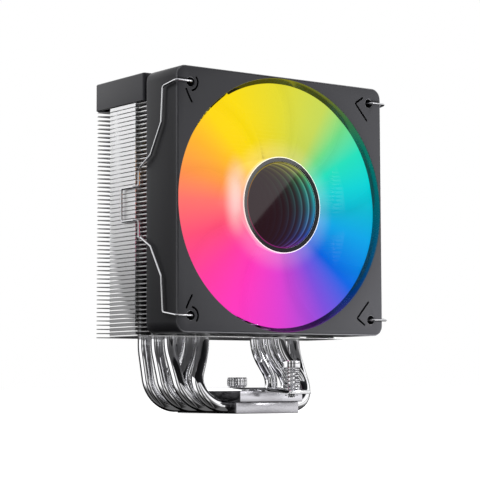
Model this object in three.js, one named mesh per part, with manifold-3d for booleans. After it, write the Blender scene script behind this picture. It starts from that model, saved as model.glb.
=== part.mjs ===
// A 120 mm tower cooler for a computer processor: six heat pipes, one fin stack, one lit fan.
// Millimetres. +Z is up and +X is to the right of a person facing the fan.
// The origin is the centre of the base's contact face, and the fan blows towards +Y.
import * as THREE from "three";
import { mergeVertices } from "three/addons/utils/BufferGeometryUtils.js";
import Module from "manifold-3d";

const wasm = await Module();
wasm.setup();

// Driving dimensions.
const FIT = 0.3; // gap between a cut piece and the neighbour that it surrounds
const CLOSE_FIT = 0.15; // gap where a piece is soldered or pressed into a straight slot

const BASE = { width: 36.3, plateDepth: 48, plateTop: 5.4, blockDepth: 54.2, blockTop: 10.4, floor: 0.3 };
const PIPE = { radius: 3, axisZ: 3.5, top: 150, pitch: 6.9, shift: 1, bendTop: 30, bendRadius: 22 };
const OUTER_LEG = { x: 36.7, y: 14.2, pitch: 10.9, cornerX: 36.8, footRadius: 13 };
const INNER_LEG = { x: 22.5, y: 5.6, pitch: 9.3, cornerX: 38.5, footRadius: 11 };

const FIN = { halfWidth: 59, front: -10.5, rear: 32.5, bottom: 35.5, top: 143.5, count: 13, thickness: 0.8 };
const LIP = { front: -1.5, rear: 20.4, thickness: 0.8 };
const NOTCH = { sideX: 57.4, cuspX: 55.5, cuspY: 25, tipX: 58, tipY: 31, rearX: 56 };
const COVER = { halfWidth: 59.5, front: -9.3, rear: 33, bottom: 143.8, top: 156.8, wall: 1.5, corner: 1.2 };

const BAR = { halfWidth: 6.7, halfLength: 49.2, thickness: 1.6, flat: 27.1, drop: 1.4, holeRadius: 2.4 };
const THUMB = { headRadius: 4.85, headHeight: 4.4, shankRadius: 1.7, shankLength: 5.6 };
const KNURL = { teeth: 20, depth: 0.35 };
const WASHER = { thickness: 0.4, radius: 3.6, bore: 2.0 };
const SCREW = { y: 42, capTop: 24.2, capBottom: 20.8, capRadius: 4.35, capChamfer: 0.4 };
const SHANK = { radius: 1.7, tipZ: 7.4, chamfer: 0.5 };
const RETAINER = { radius: 3, bore: 2.0, thickness: 0.5 };
const SPRING = { radius: 3.6, wire: 0.45, turns: 5, stepsPerTurn: 9 };

const FAN = { frontY: -37, centreZ: 96.5, size: 120, depth: 25, corner: 5, bore: 58, hole: 52.5 };
const INLET = { radius: 59.2, depth: 6 };
const FAN_HOLE = { radius: 2.15 };
const SPIDER = { depth: 4, hub: 24.5, hubThickness: 2, hubBore: 4.4, rootOverlap: 1.4 };
const STRUT = { width: 5, count: 4 };
const TUBE = { outer: 4.6, bore: 3.4, front: 12 };
const SLIT = { width: 0.9, depth: 5 };
const SLIT_VEE = [[48.5, 54.8], [44.3, 52.1], [51, 44]];
const SLIT_SHORT = [[54.9, 49.1], [51.9, 43.5]];
const SLIT_ARC = { radius: 3.9, from: 35, to: -76, steps: 4 }; // degrees around the corner hole
const PAD = { half: 6.4, corner: 2, thickness: 1.2, holeRadius: 2.6 };
const ROTOR = { front: 1, rear: 20.5, hub: 22.6, hubWall: 1.6, mirrorFloor: 7.2, floorThickness: 1.2 };
const BLADE = { count: 9, root: 21.6, tip: 56.6, front: 2.6, rear: 19.9, thickness: 1.2, camber: 1.6 };
const BLADE_PLAN = { rootSpan: 0.66, tipSpan: 0.5, sweep: 0.3 }; // radians around the axis
const WINDOW = { radius: 20.5, thickness: 1, recess: 0.4 };
const HUB_RING = { front: 0.9 };
const LIGHT_RING = { bore: 19.6, edgeGap: 0.1 };
const BACK_MIRROR = { thickness: 0.6, edgeGap: 0.4 };
const YOKE = { edgeGap: 0.2, wall: 1, rear: 20.2 };
const MAGNET_RING = { outerGap: 0.1, bore: 17.6, frontGap: 0.6, rear: 20 };
const SHAFT = { radius: 1.5, front: 8.8, rear: 23.2, pressGap: 0.02 };
const CORE = { poles: 4, front: 13.2, rear: 18.6, outer: 7.6, bore: 4.9 };
const POLE = { half: 1.6, end: 14.6, shoeHalf: 6.5, shoeStart: 14.5, shoeEnd: 16.2 };
const COIL = { half: 3.6, inner: 8.2, outer: 14.2, overhang: 2 };
const SLEEVE = { outer: 3.2, front: 12.4, rear: 21.8 };
const SHAFT_CLIP = { outer: 3.1, front: 22.2, rear: 22.6 };
const MOTOR_BOARD = { outer: 18.4, bore: 5.2, front: 21.2, rear: 22.4 };
const LIGHT_BOARD = { outer: 22.8, bore: 19, front: 22, rear: 22.9 };
const WIRE = { radius: 0.55, bend: 1.3, sideX: 61.3, grooveX: 58.4, handleX: 60.2 };
// Upper half of a wire clip, from the hook tip: X, then Y behind the fan's front and Z above its axis.
const CLIP_PATH = [
  [FAN.hole, 2, 52.5],
  [FAN.hole, -1.5, 52.5],
  [WIRE.sideX, -1.5, 52.5],
  [WIRE.sideX, 9.2, 50.9],
  [WIRE.sideX, 10.5, 34.7],
  [WIRE.sideX, 19.2, 20.8],
  [WIRE.sideX, 27.2, 16.4],
  [WIRE.grooveX, 33.4, 16.1],
  [WIRE.grooveX, 33.4, 7.9],
  [WIRE.handleX, 35.8, 7.7],
  [WIRE.handleX, 45.3, 7.7],
];
const LEAD = { radius: 1.3, x: 61.9, top: 57, bottom: 47, startY: -15, rearY: 22, endY: 2, bends: [1.4, 4, 4] };
const PLUG = { halfWidth: 1.6, length: 12, halfHeight: 3.5 };

const ROUND = 24; // sides of a turned piece
const SMALL_ROUND = 14; // sides of a small turned piece
const BORE_ROUND = 40; // sides of the fan's tunnel
const SCREW_ROUND = 16; // sides of a spring screw
const HOLE_ROUND = 12; // sides of a fan hole
const WELD = 1; // how far two joined shapes run into each other
const TURN = Math.PI * 2;

// ---------------------------------------------------------------- helpers

// One closed surface with shared corners, no empty triangles and its faces pointing out.
function closed(geometry) {
  const bare = geometry.clone();
  bare.deleteAttribute("normal");
  bare.deleteAttribute("uv");
  const merged = mergeVertices(bare, 1e-4);
  const position = merged.attributes.position;
  const triangles = [];
  const corner = [new THREE.Vector3(), new THREE.Vector3(), new THREE.Vector3()];
  let volume = 0;
  for (let i = 0; i < merged.index.count; i += 3) {
    const ids = [0, 1, 2].map((k) => merged.index.getX(i + k));
    if (new Set(ids).size < 3) {
      continue;
    }
    ids.forEach((id, k) => corner[k].fromBufferAttribute(position, id));
    volume += corner[0].dot(corner[1].clone().cross(corner[2]));
    triangles.push(ids);
  }
  if (volume < 0) {
    triangles.forEach((ids) => ids.reverse());
  }
  merged.setIndex(triangles.flat());
  return merged;
}

function toManifold(geometry) {
  const shell = closed(geometry);
  return new wasm.Manifold(
    new wasm.Mesh({
      numProp: 3,
      vertProperties: new Float32Array(shell.attributes.position.array),
      triVerts: new Uint32Array(shell.index.array),
    }),
  );
}

function toGeometry(manifold) {
  const mesh = manifold.getMesh();
  const geometry = new THREE.BufferGeometry();
  geometry.setAttribute("position", new THREE.BufferAttribute(mesh.vertProperties, 3));
  geometry.setIndex(new THREE.BufferAttribute(mesh.triVerts, 1));
  return geometry;
}

function join(...geometries) {
  return toGeometry(geometries.map(toManifold).reduce((sum, next) => sum.add(next)));
}

function cut(geometry, tools) {
  return toGeometry(tools.map(toManifold).reduce((rest, tool) => rest.subtract(tool), toManifold(geometry)));
}

function piece(name, geometry, finish) {
  const shell = closed(geometry);
  shell.computeVertexNormals();
  const mesh = new THREE.Mesh(shell, new THREE.MeshStandardMaterial(finish));
  mesh.name = name;
  return mesh;
}

function shapeOf(points) {
  return new THREE.Shape(points.map(([x, y]) => new THREE.Vector2(x, y)));
}

function circle(radius, x = 0, y = 0, sides = ROUND) {
  const points = [];
  for (let i = 0; i < sides; i += 1) {
    const angle = (TURN * i) / sides;
    points.push([x + radius * Math.cos(angle), y + radius * Math.sin(angle)]);
  }
  return shapeOf(points);
}

function ring(outer, inner, sides = ROUND) {
  const shape = circle(outer, 0, 0, sides);
  shape.holes.push(circle(inner, 0, 0, sides));
  return shape;
}

function roundedRectangle(halfX, halfY, radius, steps = 3) {
  const points = [];
  const centres = [
    [halfX - radius, halfY - radius],
    [radius - halfX, halfY - radius],
    [radius - halfX, radius - halfY],
    [halfX - radius, radius - halfY],
  ];
  centres.forEach(([x, y], quarter) => {
    for (let i = 0; i <= steps; i += 1) {
      const angle = (Math.PI / 2) * (quarter + i / steps);
      points.push([x + radius * Math.cos(angle), y + radius * Math.sin(angle)]);
    }
  });
  return shapeOf(points);
}

// Plates cut from a flat outline: across Z, across Y (outline in X and Z) and across X (outline in Y and Z).
function plateZ(shape, low, high) {
  const plate = new THREE.ExtrudeGeometry(shape, { depth: high - low, bevelEnabled: false });
  return plate.translate(0, 0, low);
}

function plateY(shape, low, high) {
  const plate = new THREE.ExtrudeGeometry(shape, { depth: high - low, bevelEnabled: false });
  return plate.rotateX(Math.PI / 2).translate(0, high, 0);
}

function plateX(shape, low, high) {
  const plate = new THREE.ExtrudeGeometry(shape, { depth: high - low, bevelEnabled: false });
  const axes = [new THREE.Vector3(0, 1, 0), new THREE.Vector3(0, 0, 1), new THREE.Vector3(1, 0, 0)];
  return plate.applyMatrix4(new THREE.Matrix4().makeBasis(...axes)).translate(low, 0, 0);
}

function box(x0, x1, y0, y1, z0, z1) {
  const block = new THREE.BoxGeometry(x1 - x0, y1 - y0, z1 - z0);
  return block.translate((x0 + x1) / 2, (y0 + y1) / 2, (z0 + z1) / 2);
}

// A turned piece about Y. Its profile holds [radius, y] and starts and ends on the axis, or closes on itself.
function turnY(profile, sides = ROUND) {
  return new THREE.LatheGeometry(
    profile.map(([radius, y]) => new THREE.Vector2(radius, y)),
    sides,
  );
}

function turnZ(profile, sides = ROUND) {
  return turnY(profile, sides).rotateX(Math.PI / 2);
}

// A path through given points, kept exactly, so that straight runs cost few points and bends get many.
class PointPath extends THREE.Curve {
  constructor(points) {
    super();
    this.points = points;
  }

  indexAt(share) {
    return Math.round(share * (this.points.length - 1));
  }

  getPointAt(share) {
    return this.points[this.indexAt(share)].clone();
  }

  getTangentAt(share) {
    const i = this.indexAt(share);
    const before = this.points[Math.max(i - 1, 0)];
    const after = this.points[Math.min(i + 1, this.points.length - 1)];
    return after.clone().sub(before).normalize();
  }
}

function sweep(points, radius, sides) {
  return new THREE.ExtrudeGeometry(circle(radius, 0, 0, sides), {
    steps: points.length - 1,
    extrudePath: new PointPath(points),
    bevelEnabled: false,
  });
}

// Straight runs between corners, each corner rounded by an arc of its own radius.
function roundedPath(corners, radii, arcSteps) {
  const at = corners.map((corner) => new THREE.Vector3(...corner));
  const path = [at[0]];
  for (let i = 1; i < at.length - 1; i += 1) {
    const back = at[i - 1].clone().sub(at[i]).normalize();
    const ahead = at[i + 1].clone().sub(at[i]).normalize();
    const half = back.angleTo(ahead) / 2;
    const toStart = radii[i - 1] / Math.tan(half);
    const middle = back.clone().add(ahead).normalize();
    const centre = at[i].clone().addScaledVector(middle, radii[i - 1] / Math.sin(half));
    const from = at[i].clone().addScaledVector(back, toStart).sub(centre);
    const to = at[i].clone().addScaledVector(ahead, toStart).sub(centre);
    const sweepAngle = Math.PI - 2 * half;
    for (let k = 0; k <= arcSteps; k += 1) {
      const share = k / arcSteps;
      const arm = from.clone().multiplyScalar(Math.sin((1 - share) * sweepAngle));
      arm.addScaledVector(to, Math.sin(share * sweepAngle)).divideScalar(Math.sin(sweepAngle));
      path.push(centre.clone().add(arm));
    }
  }
  path.push(at[at.length - 1]);
  return path;
}

// ---------------------------------------------------------------- finishes

const NICKEL = { color: 0xd8dade, roughness: 0.12, metalness: 1 };
const STEEL = { color: 0xb9bcc2, roughness: 0.25, metalness: 1 };
const ALUMINIUM = { color: 0xd9dbde, roughness: 0.35, metalness: 1 };
const BASE_METAL = { color: 0xb4b3ba, roughness: 0.4, metalness: 0.8 };
const BLACK_PLASTIC = { color: 0x35353a, roughness: 0.55, metalness: 0 };
const COVER_PAINT = { color: 0x3c3c42, roughness: 0.5, metalness: 0.2 };
const RUBBER = { color: 0x1d1d20, roughness: 0.85, metalness: 0 };
const TRANSLUCENT = { color: 0xdfe6f2, roughness: 0.4, metalness: 0 };
const COPPER = { color: 0xb8693a, roughness: 0.35, metalness: 1 };
const BRASS = { color: 0xb8964a, roughness: 0.35, metalness: 1 };
const MAGNET = { color: 0x2c2a2b, roughness: 0.6, metalness: 0.3 };
const BOARD = { color: 0x14361f, roughness: 0.6, metalness: 0 };
const WHITE_TRIM = { color: 0xf2f4f8, roughness: 0.3, metalness: 0 };
const DARK_GLASS = { color: 0x1a0f14, roughness: 0.05, metalness: 0.2 };
const MIRROR = { color: 0xe8e8ee, roughness: 0.03, metalness: 1 };
const CABLE = { color: 0x151517, roughness: 0.7, metalness: 0 };

// ---------------------------------------------------------------- heat pipes and base

// Six U-shaped pipes. Counted from the rear, they end in the outer and the inner row of legs in turn.
function pipeLayout() {
  const layout = [];
  for (let i = 0; i < 6; i += 1) {
    const row = i % 2 === 0 ? OUTER_LEG : INNER_LEG;
    const place = 1 - Math.floor(i / 2);
    layout.push({
      footY: PIPE.shift + (2.5 - i) * PIPE.pitch,
      legX: row.x,
      legY: row.y + place * row.pitch,
      cornerX: row.cornerX,
      footRadius: row.footRadius,
    });
  }
  return layout;
}

function heatPipe({ footY, legX, legY, cornerX, footRadius }) {
  const side = (sign) => [
    [sign * legX, legY, PIPE.top],
    [sign * legX, legY, PIPE.bendTop],
    [sign * cornerX, footY, PIPE.axisZ],
  ];
  const corners = [...side(-1), ...side(1).reverse()];
  const radii = [PIPE.bendRadius, footRadius, footRadius, PIPE.bendRadius];
  return sweep(roundedPath(corners, radii, 5), PIPE.radius, 8);
}

function pipeSlots(low, high) {
  const half = PIPE.radius + CLOSE_FIT;
  const reach = BASE.width;
  return pipeLayout().map(({ footY }) => box(-reach, reach, footY - half, footY + half, low, high));
}

function baseGroup() {
  const group = new THREE.Group();
  const halfWidth = BASE.width / 2;
  const halfPlate = BASE.plateDepth / 2;
  const halfBlock = BASE.blockDepth / 2;
  const plate = box(-halfWidth, halfWidth, -halfPlate, halfPlate, 0, BASE.plateTop);
  const block = box(-halfWidth, halfWidth, -halfBlock, halfBlock, BASE.plateTop, BASE.blockTop);
  const slotTop = PIPE.axisZ + PIPE.radius + CLOSE_FIT;
  const threadHole = plateZ(circle(THUMB.shankRadius + FIT, 0, 0, SMALL_ROUND), slotTop, BASE.blockTop + 1);
  group.add(piece("cold_plate", cut(plate, pipeSlots(BASE.floor, BASE.plateTop + 1)), BASE_METAL));
  group.add(piece("base_block", cut(block, [...pipeSlots(0, slotTop), threadHole]), BASE_METAL));
  pipeLayout().forEach((pipe, i) => {
    group.add(piece(`heat_pipe_${i + 1}`, heatPipe(pipe), NICKEL));
  });
  return group;
}

// ---------------------------------------------------------------- fin stack and cover

function finOutline() {
  const right = [
    [NOTCH.rearX, FIN.rear],
    [NOTCH.tipX, NOTCH.tipY],
    [NOTCH.cuspX, NOTCH.cuspY],
    [FIN.halfWidth, LIP.rear],
    [FIN.halfWidth, LIP.front],
    [NOTCH.sideX, LIP.front - 1],
    [NOTCH.sideX, FIN.front],
  ];
  const left = right.map(([x, y]) => [-x, y]).reverse();
  return shapeOf([...right, ...left]);
}

// Fins held at their spacing by folded lips along both sides, which close into two flat side walls.
function finStack() {
  const outline = finOutline();
  const sides = 5;
  const collar = (PIPE.radius + FIT) / Math.cos(Math.PI / sides);
  for (const { legX, legY } of pipeLayout()) {
    outline.holes.push(circle(collar, -legX, legY, sides), circle(collar, legX, legY, sides));
  }
  const pitch = (FIN.top - FIN.bottom - FIN.thickness) / (FIN.count - 1);
  const fins = [];
  for (let i = 0; i < FIN.count; i += 1) {
    const low = FIN.bottom + i * pitch;
    fins.push(plateZ(outline, low, low + FIN.thickness));
  }
  const wall = [FIN.halfWidth - LIP.thickness, FIN.halfWidth];
  const span = [LIP.front, LIP.rear, FIN.bottom, FIN.top];
  return join(...fins, box(...wall, ...span), box(-wall[1], -wall[0], ...span));
}

function topCover() {
  const halfDepth = (COVER.rear - COVER.front) / 2;
  const centreY = (COVER.rear + COVER.front) / 2;
  const outside = roundedRectangle(COVER.halfWidth, halfDepth, COVER.corner);
  const inside = roundedRectangle(COVER.halfWidth - COVER.wall, halfDepth - COVER.wall, COVER.corner / 2);
  const shell = plateZ(outside, COVER.bottom, COVER.top);
  const room = plateZ(inside, COVER.bottom - 1, COVER.top - COVER.wall);
  return cut(shell, [room]).translate(0, centreY, 0);
}

// ---------------------------------------------------------------- mounting bar and its screws

// Height of the bar's underside: flat on the base block, then falling away in a shallow bow.
function barUnderside(y) {
  const beyond = Math.max(Math.abs(y) - BAR.flat, 0) / (BAR.halfLength - BAR.flat);
  return BASE.blockTop - BAR.drop * beyond;
}

function mountingBar() {
  const stations = [-BAR.halfLength, -BAR.flat, BAR.flat, BAR.halfLength];
  const under = stations.map((y) => [y, barUnderside(y)]);
  const over = stations.map((y) => [y, barUnderside(y) + BAR.thickness]).reverse();
  const strip = plateX(shapeOf([...under, ...over]), -BAR.halfWidth, BAR.halfWidth);
  const holes = [-SCREW.y, 0, SCREW.y].map((y) =>
    plateZ(circle(BAR.holeRadius, 0, y, SMALL_ROUND), 0, SCREW.capBottom),
  );
  return cut(strip, holes);
}

function washer(name, outer, bore, low, thickness) {
  return piece(name, plateZ(ring(outer, bore, SMALL_ROUND), low, low + thickness), STEEL);
}

function thumbScrew() {
  const low = BASE.blockTop + BAR.thickness + WASHER.thickness;
  const knurl = [];
  for (let i = 0; i < KNURL.teeth * 2; i += 1) {
    const angle = (TURN * i) / (KNURL.teeth * 2);
    const radius = THUMB.headRadius - (i % 2) * KNURL.depth;
    knurl.push([radius * Math.cos(angle), radius * Math.sin(angle)]);
  }
  const head = plateZ(shapeOf(knurl), low, low + THUMB.headHeight);
  const shank = plateZ(circle(THUMB.shankRadius, 0, 0, SMALL_ROUND), low + WELD - THUMB.shankLength, low + WELD);
  return join(head, shank);
}

function springScrew() {
  const { capTop, capBottom, capRadius, capChamfer } = SCREW;
  const profile = [
    [0, SHANK.tipZ],
    [SHANK.radius - SHANK.chamfer, SHANK.tipZ],
    [SHANK.radius, SHANK.tipZ + SHANK.chamfer],
    [SHANK.radius, capBottom],
    [capRadius, capBottom],
    [capRadius, capTop - capChamfer],
    [capRadius - capChamfer, capTop],
    [0, capTop],
  ];
  return turnZ(profile, SCREW_ROUND);
}

function coil() {
  const low = barUnderside(SCREW.y) + BAR.thickness + SPRING.wire + FIT;
  const high = SCREW.capBottom - SPRING.wire - CLOSE_FIT;
  const steps = SPRING.turns * SPRING.stepsPerTurn;
  const points = [];
  for (let i = 0; i <= steps; i += 1) {
    const angle = (TURN * SPRING.turns * i) / steps;
    const height = low + ((high - low) * i) / steps;
    points.push(new THREE.Vector3(SPRING.radius * Math.cos(angle), SPRING.radius * Math.sin(angle), height));
  }
  return sweep(points, SPRING.wire, 5);
}

function barGroup() {
  const group = new THREE.Group();
  const barTop = BASE.blockTop + BAR.thickness;
  group.add(piece("mounting_bar", mountingBar(), STEEL));
  group.add(washer("thumb_screw_washer", WASHER.radius, WASHER.bore, barTop, WASHER.thickness));
  group.add(piece("thumb_screw", thumbScrew(), STEEL));
  for (const [end, y] of [["front", -SCREW.y], ["rear", SCREW.y]]) {
    const place = new THREE.Group();
    place.position.y = y;
    const retainerTop = barUnderside(SCREW.y + BAR.holeRadius) - 2 * FIT;
    const retainerLow = retainerTop - RETAINER.thickness;
    place.add(piece(`${end}_screw`, springScrew(), NICKEL));
    place.add(piece(`${end}_spring`, coil(), STEEL));
    place.add(washer(`${end}_screw_clip`, RETAINER.radius, RETAINER.bore, retainerLow, RETAINER.thickness));
    group.add(place);
  }
  return group;
}

// ---------------------------------------------------------------- fan: frame, pads and motor
// The fan's own frame has y = 0 at its front face and the rotor's axis along Y.

const CORNERS = [
  ["upper_left", -1, 1],
  ["upper_right", 1, 1],
  ["lower_right", 1, -1],
  ["lower_left", -1, -1],
];

// Narrow blind slits beside each corner hole let the corner give a little when the fan hums.
function slitTools(points) {
  return points.slice(1).map((to, i) => {
    const from = points[i];
    const length = Math.hypot(to[0] - from[0], to[1] - from[1]);
    const half = SLIT.width / 2;
    const along = [((to[0] - from[0]) / length) * half, ((to[1] - from[1]) / length) * half];
    const corners = [
      [from[0] - along[0] - along[1], from[1] - along[1] + along[0]],
      [from[0] - along[0] + along[1], from[1] - along[1] - along[0]],
      [to[0] + along[0] + along[1], to[1] + along[1] - along[0]],
      [to[0] + along[0] - along[1], to[1] + along[1] + along[0]],
    ];
    return plateY(shapeOf(corners), -WELD, SLIT.depth);
  });
}

function arcPoints() {
  const points = [];
  for (let i = 0; i <= SLIT_ARC.steps; i += 1) {
    const degrees = THREE.MathUtils.lerp(SLIT_ARC.from, SLIT_ARC.to, i / SLIT_ARC.steps);
    const angle = THREE.MathUtils.degToRad(degrees);
    points.push([SLIT_ARC.radius * Math.cos(angle) - FAN.hole, SLIT_ARC.radius * Math.sin(angle) + FAN.hole]);
  }
  return points;
}

// The right corners have a V, the left corners a short slit and an arc around the hole.
function cornerSlits(signX, signZ) {
  const short = SLIT_SHORT.map(([x, z]) => [-x, z]);
  const lines = signX > 0 ? [SLIT_VEE] : [short, arcPoints()];
  return lines.flatMap((line) => slitTools(line.map(([x, z]) => [x, z * signZ])));
}

function fanFrame() {
  const half = FAN.size / 2;
  const tunnel = roundedRectangle(half, half, FAN.corner);
  tunnel.holes.push(circle(FAN.bore, 0, 0, BORE_ROUND));
  for (const [, x, z] of CORNERS) {
    tunnel.holes.push(circle(FAN_HOLE.radius, x * FAN.hole, z * FAN.hole, HOLE_ROUND));
  }
  const front = plateY(tunnel, 0, FAN.depth);
  const hubDisc = plateY(ring(SPIDER.hub, SPIDER.hubBore), FAN.depth - SPIDER.hubThickness, FAN.depth);
  const tube = plateY(ring(TUBE.outer, TUBE.bore, SMALL_ROUND), TUBE.front, FAN.depth);
  const struts = [];
  for (let i = 0; i < STRUT.count; i += 1) {
    const w = STRUT.width / 2;
    const reach = [SPIDER.hub - SPIDER.rootOverlap, FAN.bore + WELD];
    const strut = box(-w, w, FAN.depth - SPIDER.depth, FAN.depth, ...reach);
    struts.push(strut.rotateY(TURN * ((i + 0.5) / STRUT.count)));
  }
  const slits = CORNERS.flatMap(([, x, z]) => cornerSlits(x, z));
  const flare = turnY(
    [
      [0, -WELD],
      [INLET.radius, -WELD],
      [INLET.radius, 0],
      [FAN.bore - FIT, INLET.depth],
      [0, INLET.depth],
    ],
    BORE_ROUND,
  );
  return cut(join(front, hubDisc, tube, ...struts), [flare, ...slits]);
}

// A rubber cushion behind each corner keeps the fan off the fins.
function rearPad() {
  const outline = roundedRectangle(PAD.half, PAD.half, PAD.corner);
  outline.holes.push(circle(PAD.holeRadius, 0, 0, HOLE_ROUND));
  return plateY(outline, FAN.depth, FAN.depth + PAD.thickness);
}

function blade(index) {
  const spans = 4;
  const chords = 3;
  const start = (TURN * index) / BLADE.count;
  const positions = [];
  for (const face of [-1, 1]) {
    for (let i = 0; i <= spans; i += 1) {
      const out = i / spans;
      const radius = THREE.MathUtils.lerp(BLADE.root, BLADE.tip, out);
      const span = THREE.MathUtils.lerp(BLADE_PLAN.rootSpan, BLADE_PLAN.tipSpan, out);
      for (let k = 0; k <= chords; k += 1) {
        const along = k / chords;
        const angle = start + BLADE_PLAN.sweep * out * out + span * (along - 0.5);
        const camber = BLADE.camber * Math.sin(Math.PI * along);
        const y = THREE.MathUtils.lerp(BLADE.front, BLADE.rear, along) + camber + (face * BLADE.thickness) / 2;
        positions.push(radius * Math.cos(angle), y, radius * Math.sin(angle));
      }
    }
  }
  const perFace = (spans + 1) * (chords + 1);
  const id = (face, i, k) => face * perFace + i * (chords + 1) + k;
  const index3 = [];
  const quad = (a, b, c, d) => index3.push(a, b, c, a, c, d);
  for (let i = 0; i < spans; i += 1) {
    for (let k = 0; k < chords; k += 1) {
      quad(id(0, i, k), id(0, i + 1, k), id(0, i + 1, k + 1), id(0, i, k + 1));
      quad(id(1, i, k), id(1, i, k + 1), id(1, i + 1, k + 1), id(1, i + 1, k));
    }
    quad(id(0, i, 0), id(1, i, 0), id(1, i + 1, 0), id(0, i + 1, 0));
    quad(id(0, i, chords), id(0, i + 1, chords), id(1, i + 1, chords), id(1, i, chords));
  }
  for (let k = 0; k < chords; k += 1) {
    quad(id(0, 0, k), id(0, 0, k + 1), id(1, 0, k + 1), id(1, 0, k));
    quad(id(0, spans, k), id(1, spans, k), id(1, spans, k + 1), id(0, spans, k + 1));
  }
  const geometry = new THREE.BufferGeometry();
  geometry.setAttribute("position", new THREE.Float32BufferAttribute(positions, 3));
  geometry.setIndex(index3);
  return geometry;
}

// The hub is a cup open to the rear for the motor, with a shallow dish in front for the lit mirrors.
function impeller() {
  const inner = ROTOR.hub - ROTOR.hubWall;
  const floor = ROTOR.mirrorFloor;
  const cup = turnY([
    [0, floor],
    [inner, floor],
    [inner, ROTOR.front + WINDOW.recess],
    [ROTOR.hub, ROTOR.front + WINDOW.recess],
    [ROTOR.hub, ROTOR.rear],
    [inner, ROTOR.rear],
    [inner, floor + ROTOR.floorThickness],
    [0, floor + ROTOR.floorThickness],
  ]);
  const blades = [];
  for (let i = 0; i < BLADE.count; i += 1) {
    blades.push(blade(i));
  }
  return join(cup, ...blades);
}

function rotorPieces() {
  const inner = ROTOR.hub - ROTOR.hubWall;
  const windowFront = ROTOR.front + WINDOW.recess;
  const windowRear = windowFront + WINDOW.thickness;
  const mirrorFront = ROTOR.mirrorFloor - BACK_MIRROR.thickness;
  const yokeFront = ROTOR.mirrorFloor + ROTOR.floorThickness;
  const yokeOuter = inner - YOKE.edgeGap;
  const yokeInner = yokeOuter - YOKE.wall;
  const yoke = turnY([
    [SHAFT.radius, yokeFront],
    [yokeOuter, yokeFront],
    [yokeOuter, YOKE.rear],
    [yokeInner, YOKE.rear],
    [yokeInner, yokeFront + YOKE.wall],
    [SHAFT.radius, yokeFront + YOKE.wall],
    [SHAFT.radius, yokeFront],
  ]);
  const magnet = ring(yokeInner - MAGNET_RING.outerGap, MAGNET_RING.bore);
  const magnetFront = yokeFront + YOKE.wall + MAGNET_RING.frontGap;
  const shaft = circle(SHAFT.radius - SHAFT.pressGap, 0, 0, ROUND);
  const light = ring(inner - LIGHT_RING.edgeGap, LIGHT_RING.bore);
  const mirror = circle(inner - BACK_MIRROR.edgeGap);
  return [
    piece("impeller", impeller(), TRANSLUCENT),
    piece("hub_ring", plateY(ring(ROTOR.hub, WINDOW.radius), HUB_RING.front, windowFront), WHITE_TRIM),
    piece("hub_window", plateY(circle(WINDOW.radius), windowFront, windowRear), DARK_GLASS),
    piece("hub_light_ring", plateY(light, windowRear, mirrorFront), TRANSLUCENT),
    piece("hub_back_mirror", plateY(mirror, mirrorFront, ROTOR.mirrorFloor), MIRROR),
    piece("rotor_yoke", yoke, STEEL),
    piece("magnet_ring", plateY(magnet, magnetFront, MAGNET_RING.rear), MAGNET),
    piece("rotor_shaft", plateY(shaft, SHAFT.front, SHAFT.rear), STEEL),
  ];
}

function statorPieces() {
  const { front, rear } = CORE;
  const arms = [];
  const coils = [];
  for (let i = 0; i < CORE.poles; i += 1) {
    const turn = (TURN * i) / CORE.poles;
    const neck = box(-POLE.half, POLE.half, front, rear, CORE.bore, POLE.end);
    const shoe = box(-POLE.shoeHalf, POLE.shoeHalf, front, rear, POLE.shoeStart, POLE.shoeEnd);
    arms.push(join(neck, shoe).rotateY(turn));
    const winding = box(
      -COIL.half, COIL.half, front - COIL.overhang, rear + COIL.overhang, COIL.inner, COIL.outer,
    );
    const room = POLE.half + FIT;
    const armRoom = box(-room, room, front - FIT, rear + FIT, CORE.outer, POLE.shoeEnd);
    coils.push(piece(`stator_coil_${i + 1}`, cut(winding, [armRoom]).rotateY(turn), COPPER));
  }
  const core = join(plateY(ring(CORE.outer, CORE.bore), front, rear), ...arms);
  const shaftRoom = SHAFT.radius + FIT;
  const sleeve = ring(SLEEVE.outer, shaftRoom, SMALL_ROUND);
  const clip = ring(SHAFT_CLIP.outer, shaftRoom, SMALL_ROUND);
  const motorBoard = ring(MOTOR_BOARD.outer, MOTOR_BOARD.bore);
  const lightBoard = ring(LIGHT_BOARD.outer, LIGHT_BOARD.bore);
  return [
    piece("stator_core", core, STEEL),
    ...coils,
    piece("bearing_sleeve", plateY(sleeve, SLEEVE.front, SLEEVE.rear), BRASS),
    piece("shaft_clip", plateY(clip, SHAFT_CLIP.front, SHAFT_CLIP.rear), BLACK_PLASTIC),
    piece("motor_board", plateY(motorBoard, MOTOR_BOARD.front, MOTOR_BOARD.rear), BOARD),
    piece("light_board", plateY(lightBoard, LIGHT_BOARD.front, LIGHT_BOARD.rear), BOARD),
  ];
}

// ---------------------------------------------------------------- wire clips and lead

// One bent spring wire: both ends hook into the fan's corner holes and the middle grips the fins' side groove.
function wireClip(side) {
  const lower = CLIP_PATH.map(([x, y, z]) => [x, y, -z]).reverse();
  const corners = [...CLIP_PATH, ...lower].map(([x, y, z]) => [side * x, FAN.frontY + y, z + FAN.centreZ]);
  const radii = corners.slice(2).map(() => WIRE.bend);
  return sweep(roundedPath(corners, radii, 2), WIRE.radius, 5);
}

function fanLead() {
  const corners = [
    [FAN.size / 2 + FIT, LEAD.startY, LEAD.top],
    [LEAD.x, LEAD.startY, LEAD.top],
    [LEAD.x, LEAD.rearY, LEAD.top],
    [LEAD.x, LEAD.rearY, LEAD.bottom],
    [LEAD.x, LEAD.endY, LEAD.bottom],
  ];
  return sweep(roundedPath(corners, LEAD.bends, 4), LEAD.radius, 8);
}

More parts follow.
